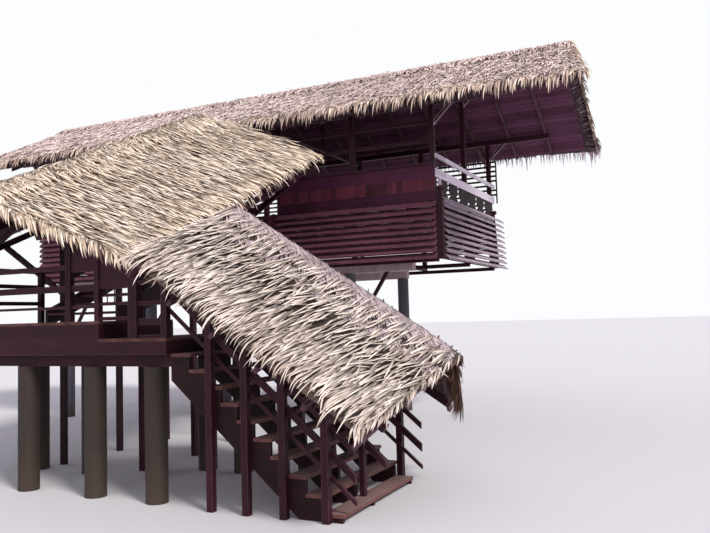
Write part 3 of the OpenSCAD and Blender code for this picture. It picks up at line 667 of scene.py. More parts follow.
# %% Soffit boards
SOFFIT_RIDGE_Z, SOFFIT_START, SOFFIT_HALF = 8.64, 0.015, 3.25
SOFFIT_BACK, SOFFIT_FRONT = -13.15, 2.49
SOFFIT_UNDER, SOFFIT_TOP = -0.024, -0.002
tilt = math.atan(MAIN_RISE)
for side, name in ((1, "far"), (-1, "near")):
    outward = np.array([0, side * math.cos(tilt), -math.sin(tilt)])
    normal = np.array([0, side * math.sin(tilt), math.cos(tilt)])
    slope_place = Place((0, MID_Y, SOFFIT_RIDGE_Z), (1, 0, 0), normal)
    sign = 1 if slope_place.axes[1] @ outward > 0 else -1
    boards = []
    for a, b in cut_boards(SOFFIT_START, SOFFIT_HALF / math.cos(tilt), chance, size=0.145,
                           gap=0.007):
        low_v, high_v = sorted((sign * a, sign * b))
        for c, d in cut_boards(SOFFIT_BACK, SOFFIT_FRONT, chance, size=5.2, gap=0.006,
                               jitter=0.5):
            boards.append(((c, low_v, SOFFIT_UNDER), (d, high_v, SOFFIT_TOP), 0,
                           chance.random()))
    board_mesh(f"soffit_boards_{name}", slope_place, boards, soffit_wood, "soffit_timber",
               "soffit_boards")

# %% [markdown]
# ## Palm leaf thatch
# A thatch is laid in courses from the eave up, each hiding the heads of the one below. A
# leaf here is a narrow ribbon. It leaves the slope at a slight lift, sinks back under its
# own weight, slides over the mat below, and hangs free once it is past the edge. So every
# leaf is walked section by section, with gravity pulling its direction down and the roof
# pushing it out. Arrays walk all the leaves of a slope together.
#
# A dry leaf bleaches in the sun, but its head is covered by the next course and stays
# dark; that darker head is also painted shade from the course above. The material reads
# two values from the points of a leaf: its own tone, and how far along it a point is.

# %% Leaf finish
STRAW_AT = 0.42


def leaf_material(name, shade, straw, bleached, root_dark_and_shade):
    """Dry palm leaf: a tone by leaf, dark at its head: never rinsed, and painted shade."""
    material, tree, shader = new_material(name)
    leaf_tone = point_value(tree, "leaf_tone")
    ramp = add(tree, "ShaderNodeValToRGB", inputs={"Fac": leaf_tone})
    ramp.color_ramp.elements[0].color = (*shade, 1)
    ramp.color_ramp.elements[1].color = (*bleached, 1)
    ramp.color_ramp.elements.new(STRAW_AT).color = (*straw, 1)
    fibre = effect(tree, grain, {"Scale": (26, 26, 26), "Board": (1, 1, 1), "Contrast": 1.3})
    # The head of a leaf is darker: unbleached, and painted shade from the course above.
    head = span(tree, point_value(tree, "leaf_along"), 0.0, 0.6, root_dark_and_shade, 0.0)
    rooted_and_shaded = mix_colour(tree, head, ramp.outputs["Color"], tuple(0.55 * c for c in shade))
    feed(tree, shader,
         scale_colour(tree, rooted_and_shaded, span(tree, fibre["Streak"], 0.0, 1.0, 0.76, 1.22)),
         span(tree, leaf_tone, 0.0, 1.0, 0.75, 0.5),
         bump(tree, fibre["Height"], strength=0.3, distance=0.004))
    shader.inputs["Specular IOR Level"].default_value = 0.35
    return material


stair_leaf = leaf_material("stair_leaf", (0.030, 0.019, 0.016), (0.56, 0.46, 0.38),
                           (0.94, 0.83, 0.73), root_dark_and_shade=0.85)
flight_leaf = leaf_material("flight_leaf", (0.080, 0.042, 0.030), (0.85, 0.69, 0.505),
                            (1.0, 0.88, 0.74), root_dark_and_shade=0.85)
main_leaf = leaf_material("main_leaf", (0.24, 0.155, 0.180), (0.80, 0.65, 0.595),
                          (1.0, 0.86, 0.80), root_dark_and_shade=0.35)
eave_leaf = leaf_material("eave_leaf", (0.11, 0.062, 0.058), (0.62, 0.475, 0.365),
                          (0.95, 0.80, 0.67), root_dark_and_shade=0.9)
lilac_leaf = leaf_material("lilac_leaf", (0.30, 0.19, 0.26), (0.70, 0.56, 0.66),
                           (0.97, 0.84, 0.96), root_dark_and_shade=0.5)
ridge_leaf = leaf_material("ridge_leaf", (0.20, 0.145, 0.155), (0.47, 0.38, 0.385),
                           (0.76, 0.645, 0.66), root_dark_and_shade=0.5)
# The under and brown leaves clothe the rims and the torn fibres; their dark colour is partly
# painted shade.
under_leaf = leaf_material("under_leaf", (0.035, 0.018, 0.024), (0.15, 0.095, 0.10),
                           (0.42, 0.30, 0.31), root_dark_and_shade=0.3)
brown_leaf = leaf_material("brown_leaf", (0.026, 0.010, 0.008), (0.105, 0.046, 0.032),
                           (0.32, 0.17, 0.115), root_dark_and_shade=0.3)
print("leaf finishes:", [m.name for m in bpy.data.materials if "leaf" in m.name])


# %% A gable roof to lay leaves on
class Roof(Place):
    """One gable: x runs along its ridge, t is the level distance out from the ridge."""

    def __init__(self, origin, forward, upright, rise, ends, eave, verge, cap_half, cap_top):
        super().__init__(origin, forward, upright)
        self.rise, self.ends, self.eave, self.verge = rise, ends, eave, verge
        self.cap_half, self.cap_top = cap_half, cap_top
        self.gravity = self.axes @ np.array([0.0, 0.0, -1.0])

    def top(self, t):
        """Height of the mat, or of the ridge cap on it, at a distance from the ridge."""
        return -self.rise * t + np.where(t < self.cap_half + 0.01, self.cap_top, 0.0)


def unit(v):
    return v / np.maximum(np.linalg.norm(v, axis=-1, keepdims=True), 1e-9)


print("a direction of length one:", unit(np.array([3.0, 4.0])).tolist())

# %% [markdown]
# The walk of a leaf needs two things of a roof: where its faces are, so that a point that
# has sunk in comes out again through the nearest one, and which way is down, which differs
# on a roof that slopes with its steps. Where a leaf still lies on others it sinks square to
# the ridge, and near the eave it is loose and hangs plumb.

# %% How a leaf lies
LOOSE = 0.12


def push_out(roof, side, p, lift):
    """Moves points that are inside the mat out through its nearest face."""
    low_end, high_end = roof.verge(p[:, 1], side)
    t = np.abs(p[:, 1])
    depth = np.stack([roof.top(t) + lift - p[:, 2], roof.eave(p[:, 0], side) + lift - t,
                      high_end + lift - p[:, 0], p[:, 0] - low_end + lift])
    inside = (depth > 0).all(axis=0)
    nearest = depth.argmin(axis=0)
    for face, axis, sign in ((0, 2, 1), (1, 1, 1), (2, 0, 1), (3, 0, -1)):
        p[:, axis] += np.where(inside & (nearest == face), sign * depth[face], 0)
    return p


def walk_leaves(roof, side, x, t, lift, yaw, rear, length, sag, sections):
    """Paths of leaves: start on the mat, then sink, slide and hang, section by section."""
    down = unit(np.array([0, 1, -roof.rise]))
    normal = unit(np.array([0, roof.rise, 1]))
    heading = (np.cos(rear)[:, None] * (np.cos(yaw)[:, None] * down
                                        + np.sin(yaw)[:, None] * np.array([1, 0, 0]))
               + np.sin(rear)[:, None] * normal)
    p = np.stack([x, t, roof.top(t) + lift], axis=1)
    path, headings = [p.copy()], [heading]
    for k in range(sections):
        share = (k + 1) / sections
        free = (np.abs(p[:, 1]) > roof.eave(p[:, 0], side) - LOOSE)[:, None]
        pull = np.where(free, roof.gravity, np.array([0.0, 0.0, -1.0]))
        heading = unit(heading + pull * (sag * share)[:, None])
        p = push_out(roof, side, p + heading * (length / sections)[:, None], lift)
        heading = unit(p - path[-1])
        path.append(p.copy())
        headings.append(heading)
    return np.stack(path, axis=1), np.stack(headings, axis=1)


print("leaves hang free from", LOOSE, "m before the eave")

# %% [markdown]
# A leaf has two points at each step of its path and one at its tip. It is widest a little
# over a third of the way down and turns as it goes, so that its edge catches the light. One
# side of a roof has tens of thousands of points, so the mesh is filled from arrays, which
# is far quicker than a list of faces.

# %% Ribbons along paths
def ribbon_points(path, heading, width, roll, normal):
    """Two points on each step of a path but the last, where there is one."""
    n, steps = path.shape[0], path.shape[1] - 1
    share = np.linspace(0, 1, steps + 1)
    across = unit(np.cross(heading, normal[None, None]))
    lean = np.cross(heading, across)
    turn = roll[:, None] * (0.35 + 0.65 * share[None])
    across = across * np.cos(turn)[..., None] + lean * np.sin(turn)[..., None]
    taper = 0.72 + 0.5 * share - 1.15 * share ** 3
    half = 0.5 * width[:, None] * taper[None]
    left, right = path + across * half[..., None], path - across * half[..., None]
    verts = np.empty((n, 2 * steps + 1, 3))
    verts[:, 0:2 * steps:2], verts[:, 1:2 * steps:2] = left[:, :steps], right[:, :steps]
    verts[:, 2 * steps] = path[:, steps]
    return verts, np.concatenate([np.repeat(share[:steps], 2), [1.0]])


def ribbon_corners(n, steps, base):
    """Corners of the four-sided faces of n leaves and of their tips, and how many each."""
    ring = []
    for j in range(steps - 1):
        ring += [2 * j, 2 * j + 1, 2 * j + 3, 2 * j + 2]
    ring += [2 * steps - 2, 2 * steps - 1, 2 * steps]
    starts = base + np.arange(n)[:, None] * (2 * steps + 1)
    return (starts + np.array(ring)[None]).ravel(), np.tile([4] * (steps - 1) + [3], n)


def leaf_piece(name, roof, side, parts, material, slot):
    """One mesh from several batches of leaves."""
    points, tones, alongs, corners, totals = [], [], [], [], []
    base = 0
    for path, heading, width, roll, leaf_tones in parts:
        n, steps = path.shape[0], path.shape[1] - 1
        verts, along = ribbon_points(path, heading, width, roll,
                                     unit(np.array([0, roof.rise, 1])))
        verts[..., 1] *= side
        points.append(roof.out(verts.reshape(-1, 3)))
        tones.append(np.repeat(leaf_tones, len(along)))
        alongs.append(np.tile(along, n))
        part_corners, part_totals = ribbon_corners(n, steps, base)
        corners.append(part_corners)
        totals.append(part_totals)
        base += n * len(along)
    points, corners, totals = [np.concatenate(part) for part in (points, corners, totals)]
    mesh = bpy.data.meshes.new(name)
    mesh.vertices.add(len(points))
    mesh.vertices.foreach_set("co", points.astype(np.float32).ravel())
    mesh.loops.add(len(corners))
    mesh.loops.foreach_set("vertex_index", corners.astype(np.int32))
    mesh.polygons.add(len(totals))
    loop_starts = np.concatenate([[0], np.cumsum(totals)[:-1]])
    mesh.polygons.foreach_set("loop_start", loop_starts.astype(np.int32))
    mesh.polygons.foreach_set("loop_total", totals.astype(np.int32))
    mesh.update(calc_edges=True)
    add_values(mesh, "leaf_tone", np.concatenate(tones))
    add_values(mesh, "leaf_along", np.concatenate(alongs))
    add_piece(name, mesh, material, slot)
    print(f"{name}: {sum(len(part[0]) for part in parts)} leaves,",
          f"{int((totals - 2).sum())} triangles")


print("corners of the faces of a leaf in four steps:", ribbon_corners(1, 4, 0)[1].tolist())

# %% [markdown]
# A slope is thatched in layers: a close dark one that hides the mat and is painted dark
# as the shade between the leaves on it, loose paler leaves on it, a longer fringe along the
# eave, and short leaves that wrap round the verges. So one slope keeps its own seed and
# collects layers until they are made into a piece.
#
# A layer says how its leaves lie. The lift is how far above the mat they start, the yaw
# their turn from straight down the slope, rear how steeply they first rise from it, sag
# how fast they sink, and roll how far a blade may twist. Each has a middle and a spread,
# or a range, so that no two leaves are alike.

# %% A slope, laid in layers
RIDGE_LINE = 0.012
SHORTEST, THINNEST, LEAST_SAG = 0.08, 0.012, 0.02


class Slope:
    """One side of a roof, with its own seed and the leaves laid since the last piece."""

    def __init__(self, roof, side, seed):
        self.roof, self.side = roof, side
        self.chance = np.random.default_rng(seed)
        self.parts = []

    def rows(self, first, last, step, pitch, ends=None, back=0.0):
        """Places in courses between two distances up from the eave: a step from course to
        course, and a pitch from leaf to leaf."""
        xs, ts = [], []
        up_slope = first
        while up_slope < last:
            x = np.arange(*(ends or self.roof.ends), pitch)
            x = x + self.chance.uniform(-0.6, 0.6, len(x)) * pitch
            scatter = self.chance.uniform(-0.35, 0.35, len(x)) * step
            t = self.roof.eave(x, self.side) - up_slope + scatter
            low_end, high_end = self.roof.verge(t, self.side)
            keep = (x > low_end + back) & (x < high_end - back) & (t > 0.02)
            xs.append(x[keep])
            ts.append(t[keep])
            up_slope += step
        return np.concatenate(xs), np.concatenate(ts)

    def rows_and_ridge(self, ridge_ends, ridge_pitch, **row_settings):
        """Places in courses, and one line of places along the ridge."""
        x, t = self.rows(**row_settings)
        line = np.arange(*ridge_ends, ridge_pitch)
        return np.concatenate([x, line]), np.concatenate([t, np.full(len(line), RIDGE_LINE)])

    def verge(self, end, pitch, inset, lines, step):
        """Places along a verge, in a few lines from the edge inwards."""
        xs, ts = [], []
        for k in range(lines):
            t = np.arange(0.02, self.roof.eave(np.array([0.0]), self.side)[0] + 0.3, pitch)
            t = t + self.chance.uniform(-0.5, 0.5, len(t)) * pitch
            low_end, high_end = self.roof.verge(t, self.side)
            inward = inset + k * step + self.chance.uniform(-0.3, 0.3, len(t)) * step
            x = (high_end - inward) if end > 0 else (low_end + inward)
            keep = (t < self.roof.eave(x, self.side) - 0.02) & (t > 0.01)
            xs.append(x[keep])
            ts.append(t[keep])
        return np.concatenate(xs), np.concatenate(ts)

    def lay(self, places, lift, yaw, rear, length, sag, width, roll, tone_at, sections=4):
        """Lays leaves at places. Lift is a range, roll a limit, and each other pair a middle
        and a spread."""
        x, t = places
        n = len(x)

        def spread(pair, low=None):
            value = pair[0] + pair[1] * self.chance.standard_normal(n)
            return value if low is None else np.maximum(value, low)

        path, heading = walk_leaves(
            self.roof, self.side, x, t, self.chance.uniform(*lift, n), spread(yaw),
            spread(rear, 0.0), spread(length, SHORTEST), spread(sag, LEAST_SAG), sections)
        # Damp and sun leave slow patches of tone on top of what differs from leaf to leaf.
        patchy = (0.10 * np.sin(x * 2.3 + 1.7 * np.sin(t * 3.1))
                  + 0.06 * np.sin(x * 7.1 + t * 5.3))
        tones = np.clip(spread(tone_at) + patchy, 0, 1)
        self.parts.append((path, heading, spread(width, THINNEST),
                           self.chance.uniform(-roll, roll, n), tones))

    def piece(self, name, material, slot="thatch"):
        """Makes one piece of the leaves laid so far, and starts afresh."""
        leaf_piece(name, self.roof, self.side, self.parts, material, slot)
        self.parts = []


print("a slope can:", [name for name in vars(Slope) if not name.startswith("_")])

# %% [markdown]
# ## The three gables
# The main roof runs along the house, the flight roof climbs towards it with the upper
# steps, and the stair roof climbs with the lower steps. All three are the same kind of
# gable with other axes, so the same functions thatch them. Only the main roof has corners
# that fly out, more at the near front corner than at the far one.

# %% Main gable
MAIN_BACK, RIDGE_FRONT = -13.3, 2.69
MAIN_EAVE = {-1: [(MAIN_BACK, 3.4), (1.5, 3.4), (2.56, 3.58), (3.49, 3.83)],
             1: [(MAIN_BACK, 3.4), (1.2, 3.52), (2.72, 3.7)]}


def main_eave(x, side):
    """How far the thatch comes out from the ridge, at a place along the roof."""
    return np.interp(x, *np.transpose(MAIN_EAVE[side]))


def main_verge(t, side):
    """Where the thatch ends along the roof, at a distance from the ridge."""
    corner_x, corner_t = MAIN_EAVE[side][-1]
    front = np.interp(np.abs(t), [0, corner_t], [RIDGE_FRONT, corner_x])
    return np.full_like(t, MAIN_BACK), front


MAIN_TOP_Z = 8.86
main_roof = Roof((0, MID_Y, MAIN_TOP_Z), forward=(1, 0, 0), upright=(0, 0, 1), rise=MAIN_RISE,
                 ends=(MAIN_BACK, 3.5), eave=main_eave, verge=main_verge, cap_half=0.33,
                 cap_top=0.07)
print("main roof:", RIDGE_FRONT - MAIN_BACK, "m along the ridge")


# %% Gables over the steps
def straight_eave(half):
    return lambda x, side: np.full_like(x, half)


def slanted_end(at_ridge, at_eave, half):
    """Ends of a roof that starts square and may end at a slant."""
    return lambda t, side: (np.zeros_like(t),
                            np.interp(np.abs(t), [0, half], [at_ridge, at_eave]))


UP, DOWN = math.radians(24.2), math.radians(33.2)
FLIGHT_FOOT, FLIGHT_RISE, FLIGHT_HALF, FLIGHT_LONG = (-4.87, -7.6, 4.64), 0.447, 2.76, 6.3
STAIR_HEAD, STAIR_RISE, STAIR_HALF = (-1.41, -5.6, 4.38), 0.548, 1.86
STAIR_LONG, STAIR_LONG_EAVE = 4.31, 4.17
flight_roof = Roof(FLIGHT_FOOT, forward=(0, math.cos(UP), math.sin(UP)),
                   upright=(0, -math.sin(UP), math.cos(UP)), rise=FLIGHT_RISE,
                   ends=(0.0, FLIGHT_LONG), eave=straight_eave(FLIGHT_HALF),
                   verge=slanted_end(FLIGHT_LONG, FLIGHT_LONG, FLIGHT_HALF),
                   cap_half=0.30, cap_top=0.06)
stair_roof = Roof(STAIR_HEAD, forward=(math.cos(DOWN), 0, -math.sin(DOWN)),
                  upright=(math.sin(DOWN), 0, math.cos(DOWN)), rise=STAIR_RISE,
                  ends=(0.0, STAIR_LONG), eave=straight_eave(STAIR_HALF),
                  verge=slanted_end(STAIR_LONG, STAIR_LONG_EAVE, STAIR_HALF),
                  cap_half=0.26, cap_top=0.055)
print("degrees of slope across:", [round(math.degrees(math.atan(roof.rise)), 1)
                                   for roof in (main_roof, flight_roof, stair_roof)])

# %% [markdown]
# The main roof looks the most weathered of the three: short, ragged leaves in every
# direction, greyer than the rest, and paler towards the back. The near side is seen from
# closer by, so its leaves are narrower and closer together. A longer fringe hangs along
# each eave, brown on the near side and pale lilac on the far one, seen against the sky.

# %% Main roof
for side, label, step, pitch, broad in ((-1, "near", 0.115, 0.031, 0.030),
                                        (1, "far", 0.17, 0.048, 0.048)):
    near = side < 0
    slope = Slope(main_roof, side, seed=20 + side)
    x, t = slope.rows(first=0.10, last=3.75, step=step, pitch=pitch)
    # The tone rises towards the back of the roof.
    paler_back = 0.26 * np.clip((-x - 3) / 4, 0, 1)
    slope.lay((x, t), lift=(0.004, 0.06), yaw=(0, 0.45), rear=(0.13, 0.12), length=(0.24, 0.06),
              sag=(0.25, 0.1), width=(broad, 0.007), roll=0.6,
              tone_at=(0.54 + paler_back, 0.28))
    slope.lay(slope.rows_and_ridge((-13.2, 2.65), 0.020, first=3.02, last=3.85, step=0.085,
                                   pitch=0.034, ends=(MAIN_BACK, 3.2)),
              lift=(0.004, 0.035), yaw=(0, 0.6), rear=(0.03, 0.05), length=(0.27, 0.06),
              sag=(0.3, 0.1), width=(0.032, 0.007), roll=0.6, tone_at=(0.55, 0.24))
    slope.piece(f"main_thatch_{label}", main_leaf)
    slope.lay(slope.rows(first=0.18, last=0.70 if near else 0.56, step=0.09,
                         pitch=0.030 if near else 0.046),
              lift=(0.006, 0.05), yaw=(0, 0.16), rear=(0.10, 0.10),
              length=(0.49, 0.09) if near else (0.52, 0.06),
              sag=(0.60, 0.25) if near else (1.4, 0.2), width=(0.034, 0.008), roll=0.6,
              tone_at=(0.55 if near else 0.40, 0.25), sections=6)
    slope.piece(f"main_eave_{label}", eave_leaf if near else lilac_leaf)
    # On the far slope the verge leaves take a lower tone, a painted shade on leaves turned from
    # the sun.
    for end in (1, -1):
        slope.lay(slope.verge(end, pitch=0.030, inset=0.01, lines=4, step=0.06),
                  lift=(0.006, 0.04), yaw=(end * 0.8, 0.3), rear=(0.03, 0.05),
                  length=(0.26, 0.05), sag=(1.1, 0.25), width=(0.038, 0.008), roll=0.6,
                  tone_at=(0.42 if near else 0.20, 0.2), sections=5)
    slope.piece(f"main_verge_{label}", eave_leaf)

# %% [markdown]
# The flight roof is straw-coloured and neatly laid, with its leaves straight down the
# slope. At its upper end, where it meets the main eave, more leaves lie on one another,
# and the surface swells.

# %% Flight roof
SWELL_FROM, SWELL_HEIGHT = 5.0, 0.16
for side, label in ((1, "left"), (-1, "right")):
    slope = Slope(flight_roof, side, seed=40 + side)
    # A close layer painted almost black: the shade between the leaves laid over it.
    slope.lay(slope.rows(first=0.22, last=2.75, step=0.14, pitch=0.040),
              lift=(0.002, 0.012), yaw=(0, 0.15), rear=(0.03, 0.03), length=(0.34, 0.06),
              sag=(0.3, 0.1), width=(0.038, 0.006), roll=0.4, tone_at=(0.0, 0.09))
    slope.lay(slope.rows(first=0.34, last=2.75, step=0.110, pitch=0.052),
              lift=(0.014, 0.065), yaw=(0, 0.16), rear=(0.07, 0.06), length=(0.40, 0.09),
              sag=(0.2, 0.08), width=(0.030, 0.006), roll=0.5, tone_at=(0.70, 0.22))
    x, t = slope.rows(first=0.34, last=2.70, step=0.10, pitch=0.026,
                      ends=(SWELL_FROM, FLIGHT_LONG))
    swell = (SWELL_HEIGHT * np.sin(np.pi * t / FLIGHT_HALF) * (x - SWELL_FROM)
             / (FLIGHT_LONG - SWELL_FROM))
    slope.lay((x, t), lift=(0.01, 0.03 + swell), yaw=(0.10, 0.18), rear=(0.06, 0.06),
              length=(0.38, 0.08), sag=(0.3, 0.1), width=(0.030, 0.006), roll=0.5,
              tone_at=(0.62, 0.26), sections=5)
    slope.lay(slope.rows_and_ridge((0.15, FLIGHT_LONG), 0.014, first=2.42, last=2.80, step=0.07,
                                   pitch=0.028),
              lift=(0.004, 0.03), yaw=(-0.6, 0.5), rear=(0.10, 0.10), length=(0.30, 0.06),
              sag=(0.25, 0.1), width=(0.026, 0.005), roll=0.5, tone_at=(0.52, 0.25))
    slope.lay(slope.rows(first=0.30, last=0.72, step=0.08, pitch=0.036),
              lift=(0.005, 0.060), yaw=(0, 0.16), rear=(0.08, 0.08), length=(0.48, 0.08),
              sag=(0.65, 0.25), width=(0.028, 0.006), roll=0.6, tone_at=(0.52, 0.27),
              sections=6)
    for end in (1, -1):
        slope.lay(slope.verge(end, pitch=0.028, inset=0.01, lines=3, step=0.05),
                  lift=(0.005, 0.035), yaw=(end * 0.9, 0.3), rear=(0.04, 0.05),
                  length=(0.27, 0.05), sag=(1.0, 0.25), width=(0.028, 0.006), roll=0.6,
                  tone_at=(0.48, 0.25), sections=5)
    slope.piece(f"flight_thatch_{label}", flight_leaf)

# %% [markdown]
# The stair roof is the boldest thatch. Its long pale fingers are raised over a layer that
# is painted almost black, as the shade between them, and they lean a little up the stair,
# where the rest of the leaves point straight out from the ridge. Finer grey leaves lie along
# the ridge and cover the joint of the two sides.

# %% Stair roof
for side, label in ((-1, "near"), (1, "far")):
    slope = Slope(stair_roof, side, seed=60 + side)
    # A close layer painted almost black: the shade between the leaves laid over it.
    slope.lay(slope.rows(first=0.24, last=STAIR_HALF, step=0.11, pitch=0.034),
              lift=(0.002, 0.012), yaw=(-0.1, 0.15), rear=(0.03, 0.03), length=(0.30, 0.05),
              sag=(0.3, 0.1), width=(0.034, 0.006), roll=0.4, tone_at=(-0.13, 0.08))
    slope.lay(slope.rows(first=0.36, last=STAIR_HALF, step=0.100, pitch=0.074,
                         ends=(0.0, 4.28)),
              lift=(0.020, 0.085), yaw=(-0.20, 0.20), rear=(0.06, 0.07), length=(0.38, 0.09),
              sag=(0.16, 0.08), width=(0.027, 0.005), roll=0.45, tone_at=(0.72, 0.18),
              sections=6)
    slope.lay(slope.rows(first=0.36, last=0.84, step=0.090, pitch=0.050, ends=(0.0, 4.25)),
              lift=(0.006, 0.080), yaw=(-0.08, 0.15), rear=(0.06, 0.07), length=(0.57, 0.09),
              sag=(0.36, 0.12), width=(0.026, 0.005), roll=0.6, tone_at=(0.66, 0.20),
              sections=8)
    for end in (1, -1):
        slope.lay(slope.verge(end, pitch=0.026, inset=0.03, lines=3, step=0.04),
                  lift=(0.005, 0.03), yaw=(end * 0.35, 0.2), rear=(0.02, 0.03),
                  length=(0.22, 0.04), sag=(0.4, 0.15), width=(0.026, 0.006), roll=0.6,
                  tone_at=(0.50, 0.26), sections=5)
    slope.piece(f"stair_thatch_{label}", stair_leaf)
    slope.lay(slope.rows_and_ridge((0.0, 4.08), 0.012, first=1.42, last=1.92, step=0.05,
                                   pitch=0.024, ends=(0.0, 4.12), back=0.05),
              lift=(0.004, 0.030), yaw=(1.05, 0.2), rear=(0.03, 0.05), length=(0.28, 0.05),
              sag=(0.25, 0.1), width=(0.023, 0.005), roll=0.5, tone_at=(0.5, 0.2))
    slope.piece(f"stair_ridge_{label}", ridge_leaf, "ridge_thatch")

# %% [markdown]
# ## The mat under the leaves
# Between the leaves one looks into the thickness of the thatch, which is brown and never
# rinsed, and its dark colour is also painted shade between the leaves. The frame's roof
# bodies are that thickness. A real mat thins out to its edges, where only the ends of the
# leaves are left, so mats with sloping rims replace the bodies.

# %% Mat finish
def mat_material(name, dark, light, above):
    """Packed leaf stalks, another colour where they look up, dark partly as painted shade."""
    material, tree, shader = new_material(name)
    straws = effect(tree, grain, {"Scale": (30, 30, 9), "Board": (9, 9, 9), "Contrast": 1.6})
    facing_up = span(tree, part_of(tree, true_normal(tree), "Z"), 0.2, 0.7, 0.0, 1.0)
    body = mix_colour(tree, straws["Streak"], dark, light)
    rinsed_top_and_shaded_sides = mix_colour(tree, facing_up, body, above)
    feed(tree, shader,
         scale_colour(tree, rinsed_top_and_shaded_sides, span(tree, straws["Board tone"], 0.0, 1.0, 0.7, 1.3)),
         span(tree, straws["Streak"], 0.0, 1.0, 0.8, 0.95),
         bump(tree, straws["Height"], strength=0.8, distance=0.02))
    return material


main_mat = mat_material("main_mat", (0.012, 0.005, 0.010), (0.045, 0.022, 0.034),
                        above=(0.24, 0.17, 0.17))
brown_mat = mat_material("brown_mat", (0.022, 0.010, 0.007), (0.100, 0.050, 0.034),
                         above=(0.070, 0.045, 0.034))
print("mats:", main_mat.name, brown_mat.name)


# %% Mats that thin out to their edges
UNDER_LEAVES = 0.004


def mat_piece(name, roof, thick, outlines, material, node):
    """Both slopes of a mat; each outline is (top x, top t, bottom x, bottom t) from the
    rear ridge end round the eave to the front ridge end."""
    points, faces = [], []
    for side, outline in outlines.items():
        n = len(outline)
        top = [len(points) + k for k in range(n)]
        low = [len(points) + n + k for k in range(n)]
        points += [(x, side * t, -roof.rise * t - UNDER_LEAVES)
                   for x, t, low_x, low_t in outline]
        points += [(low_x, side * low_t, -roof.rise * low_t - thick)
                   for x, t, low_x, low_t in outline]
        faces += [top if side > 0 else top[::-1], low[::-1] if side > 0 else low]
        for k in range(n - 1):
            ring = [top[k + 1], top[k], low[k], low[k + 1]]
            faces.append(ring if side > 0 else ring[::-1])
    mesh = bpy.data.meshes.new(name)
    mesh.from_pydata(roof.out(np.array(points)).tolist(), [], faces)
    work = bmesh.new()
    work.from_mesh(mesh)
    bmesh.ops.remove_doubles(work, verts=work.verts, dist=0.001)
    bmesh.ops.recalc_face_normals(work, faces=work.faces)
    work.to_mesh(mesh)
    work.free()
    add_piece(name, mesh, material, "thatch", node)
    print(f"{name}: {len(mesh.polygons)} faces")


print("mats lie", UNDER_LEAVES, "m under the places of the leaves")

# %% [markdown]
# The rim itself isn't a smooth face on the real roof. It shows the ends of hundreds of
# leaves, cut short by wind. Short dark leaves are strewn over it, from the top edge of the
# mat to a little below its underside, and bulge outwards on the way.

# %% Leaf ends on a rim
RIM_PITCH, RIM_HANG, RIM_WIDTH = 0.026, 0.06, 0.03
RIM_STEPS = 3


def rim_leaves(name, roof, thick, outlines, chance, material):
    """Leaf ends that show in the thickness of a mat, from its top edge to its underside."""
    for side, outline in outlines.items():
        top, low = [], []
        for a, b in zip(outline[:-1], outline[1:]):
            n = max(2, int(math.hypot(b[0] - a[0], b[1] - a[1]) / RIM_PITCH)) * 2
            share = chance.random(n)[:, None]
            at = (1 - share) * np.array(a)[None] + share * np.array(b)[None]
            top.append(np.stack([at[:, 0], at[:, 1], -roof.rise * at[:, 1] - 0.006], axis=1))
            low.append(np.stack([at[:, 2], at[:, 3], -roof.rise * at[:, 3] - thick
                                 - RIM_HANG * chance.random(n)], axis=1))
        top, low = np.concatenate(top), np.concatenate(low)
        n = len(top)
        low[:, 0] += 0.05 * chance.standard_normal(n)
        bulge = top - low
        bulge[:, 2] = 0
        bulge = unit(bulge) * chance.uniform(0.01, 0.05, n)[:, None]
        reach = chance.uniform(0.55, 1.15, n)[:, None]
        path = np.stack([top + (low - top) * reach * k / RIM_STEPS
                         + bulge * math.sin(math.pi * (k + 1) / (RIM_STEPS + 2))
                         for k in range(RIM_STEPS + 1)], axis=1)
        heading = np.repeat(unit(path[:, -1] - path[:, 0])[:, None], RIM_STEPS + 1, axis=1)
        width = np.maximum(RIM_WIDTH + 0.007 * chance.standard_normal(n), THINNEST)
        roll = chance.uniform(-0.9, 0.9, n)
        tones = np.clip(0.4 + 0.25 * chance.standard_normal(n), 0, 1)
        leaf_piece(f"{name}_{'near' if side < 0 else 'far'}", roof, side,
                   [(path, heading, width, roll, tones)], material, "thatch")


print("leaf ends for each metre of rim:", round(2 / RIM_PITCH))

# %% Outlines of the mats
MAT_BACK, MAT_FRONT, MAT_EAVE = -13.15, 2.52, 3.28
MAIN_UNDERSIDE = {-1: (MAT_BACK, 1.5, 2.35, MAT_FRONT), 1: (MAT_BACK, 1.2, MAT_FRONT)}
main_outlines = {
    side: [(MAIN_BACK, 0, MAT_BACK, 0)]
    + [(x, t, low_x, MAT_EAVE) for (x, t), low_x in zip(MAIN_EAVE[side], MAIN_UNDERSIDE[side])]
    + [(RIDGE_FRONT, 0, MAT_FRONT, 0)] for side in (-1, 1)}
FLIGHT_UNDER_ENDS, FLIGHT_UNDER_HALF = (0.2, 6.1), 2.5
flight_outline = [(0, 0, FLIGHT_UNDER_ENDS[0], 0),
                  (0, FLIGHT_HALF, FLIGHT_UNDER_ENDS[0], FLIGHT_UNDER_HALF),
                  (FLIGHT_LONG, FLIGHT_HALF, FLIGHT_UNDER_ENDS[1], FLIGHT_UNDER_HALF),
                  (FLIGHT_LONG, 0, FLIGHT_UNDER_ENDS[1], 0)]
STAIR_UNDER_START, STAIR_UNDER_RIDGE_END, STAIR_UNDER_EAVE_END = 0.15, 4.16, 4.03
STAIR_UNDER_HALF = 1.62
stair_outline = [(0, 0, STAIR_UNDER_START, 0),
                 (0, STAIR_HALF, STAIR_UNDER_START, STAIR_UNDER_HALF),
                 (STAIR_LONG_EAVE, STAIR_HALF, STAIR_UNDER_EAVE_END, STAIR_UNDER_HALF),
                 (STAIR_LONG, 0, STAIR_UNDER_RIDGE_END, 0)]
print("corners of the outlines:", [len(main_outlines[side]) for side in main_outlines],
      len(flight_outline), len(stair_outline))

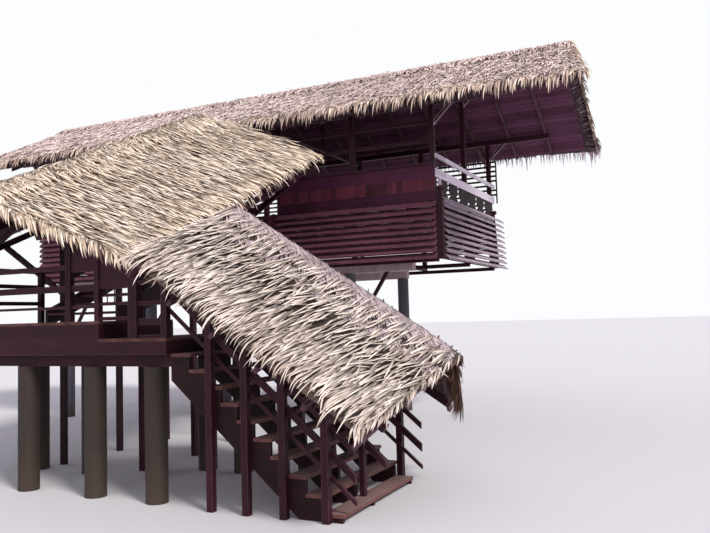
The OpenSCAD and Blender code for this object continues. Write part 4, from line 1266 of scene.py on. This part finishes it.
# %% Mats and rims of the three roofs
MAIN_THICK, FLIGHT_THICK, STAIR_THICK = 0.217, 0.198, 0.168
chance = np.random.default_rng(80)
for name, roof, thick, outlines, material, leaf in (
        ("main", main_roof, MAIN_THICK, main_outlines, main_mat, under_leaf),
        ("flight", flight_roof, FLIGHT_THICK, {-1: flight_outline, 1: flight_outline},
         brown_mat, brown_leaf),
        ("stair", stair_roof, STAIR_THICK, {-1: stair_outline, 1: stair_outline},
         brown_mat, brown_leaf)):
    mat_piece(f"{name}_mat", roof, thick, outlines, material, f"{name}_thatch")
    rim_leaves(f"{name}_rim", roof, thick, outlines, chance, leaf)

# %% [markdown]
# ## Torn fibres
# At the foot of the stair roof the far side of the mat has come loose, and long brown
# fibres hang from it. They are leaves too, only narrower, and they hang straight down with
# a little scatter instead of being walked over the roof.

# %% Torn fibres at the foot of the stair roof
FIBRES, FIBRE_STEPS = 320, 5
FIBRE_X, FIBRE_SINK = 4.24, 0.08
chance = np.random.default_rng(90)
t = chance.uniform(0.04, 1.35, FIBRES)
top = np.stack([FIBRE_X + 0.07 * chance.random(FIBRES), t, -stair_roof.rise * t - FIBRE_SINK],
               axis=1)
drop = stair_roof.gravity * chance.uniform(0.12, 0.46, FIBRES)[:, None]
drop = drop + 0.05 * chance.standard_normal((FIBRES, 3))
swing = np.array([0.03, 0, 0])
path = np.stack([top + drop * k / FIBRE_STEPS + swing * math.sin(math.pi * k / FIBRE_STEPS)
                 for k in range(FIBRE_STEPS + 1)], axis=1)
heading = np.repeat(unit(drop)[:, None], FIBRE_STEPS + 1, axis=1)
width = chance.uniform(THINNEST, 0.028, FIBRES)
roll = chance.uniform(-1.2, 1.2, FIBRES)
tones = np.clip(0.35 + 0.22 * chance.standard_normal(FIBRES), 0, 1)
leaf_piece("stair_foot_fibres", stair_roof, 1, [(path, heading, width, roll, tones)], brown_leaf,
           "thatch")

# %% [markdown]
# ## Ridge caps
# A saddle of packed leaves sits on each ridge. The frame has its shape and the leaves of
# the ridge lie over it, so it only needs the colour of the mat, for where one sees through.

# %% Ridge caps
finish(brown_mat, "ridge_caps")

# %% [markdown]
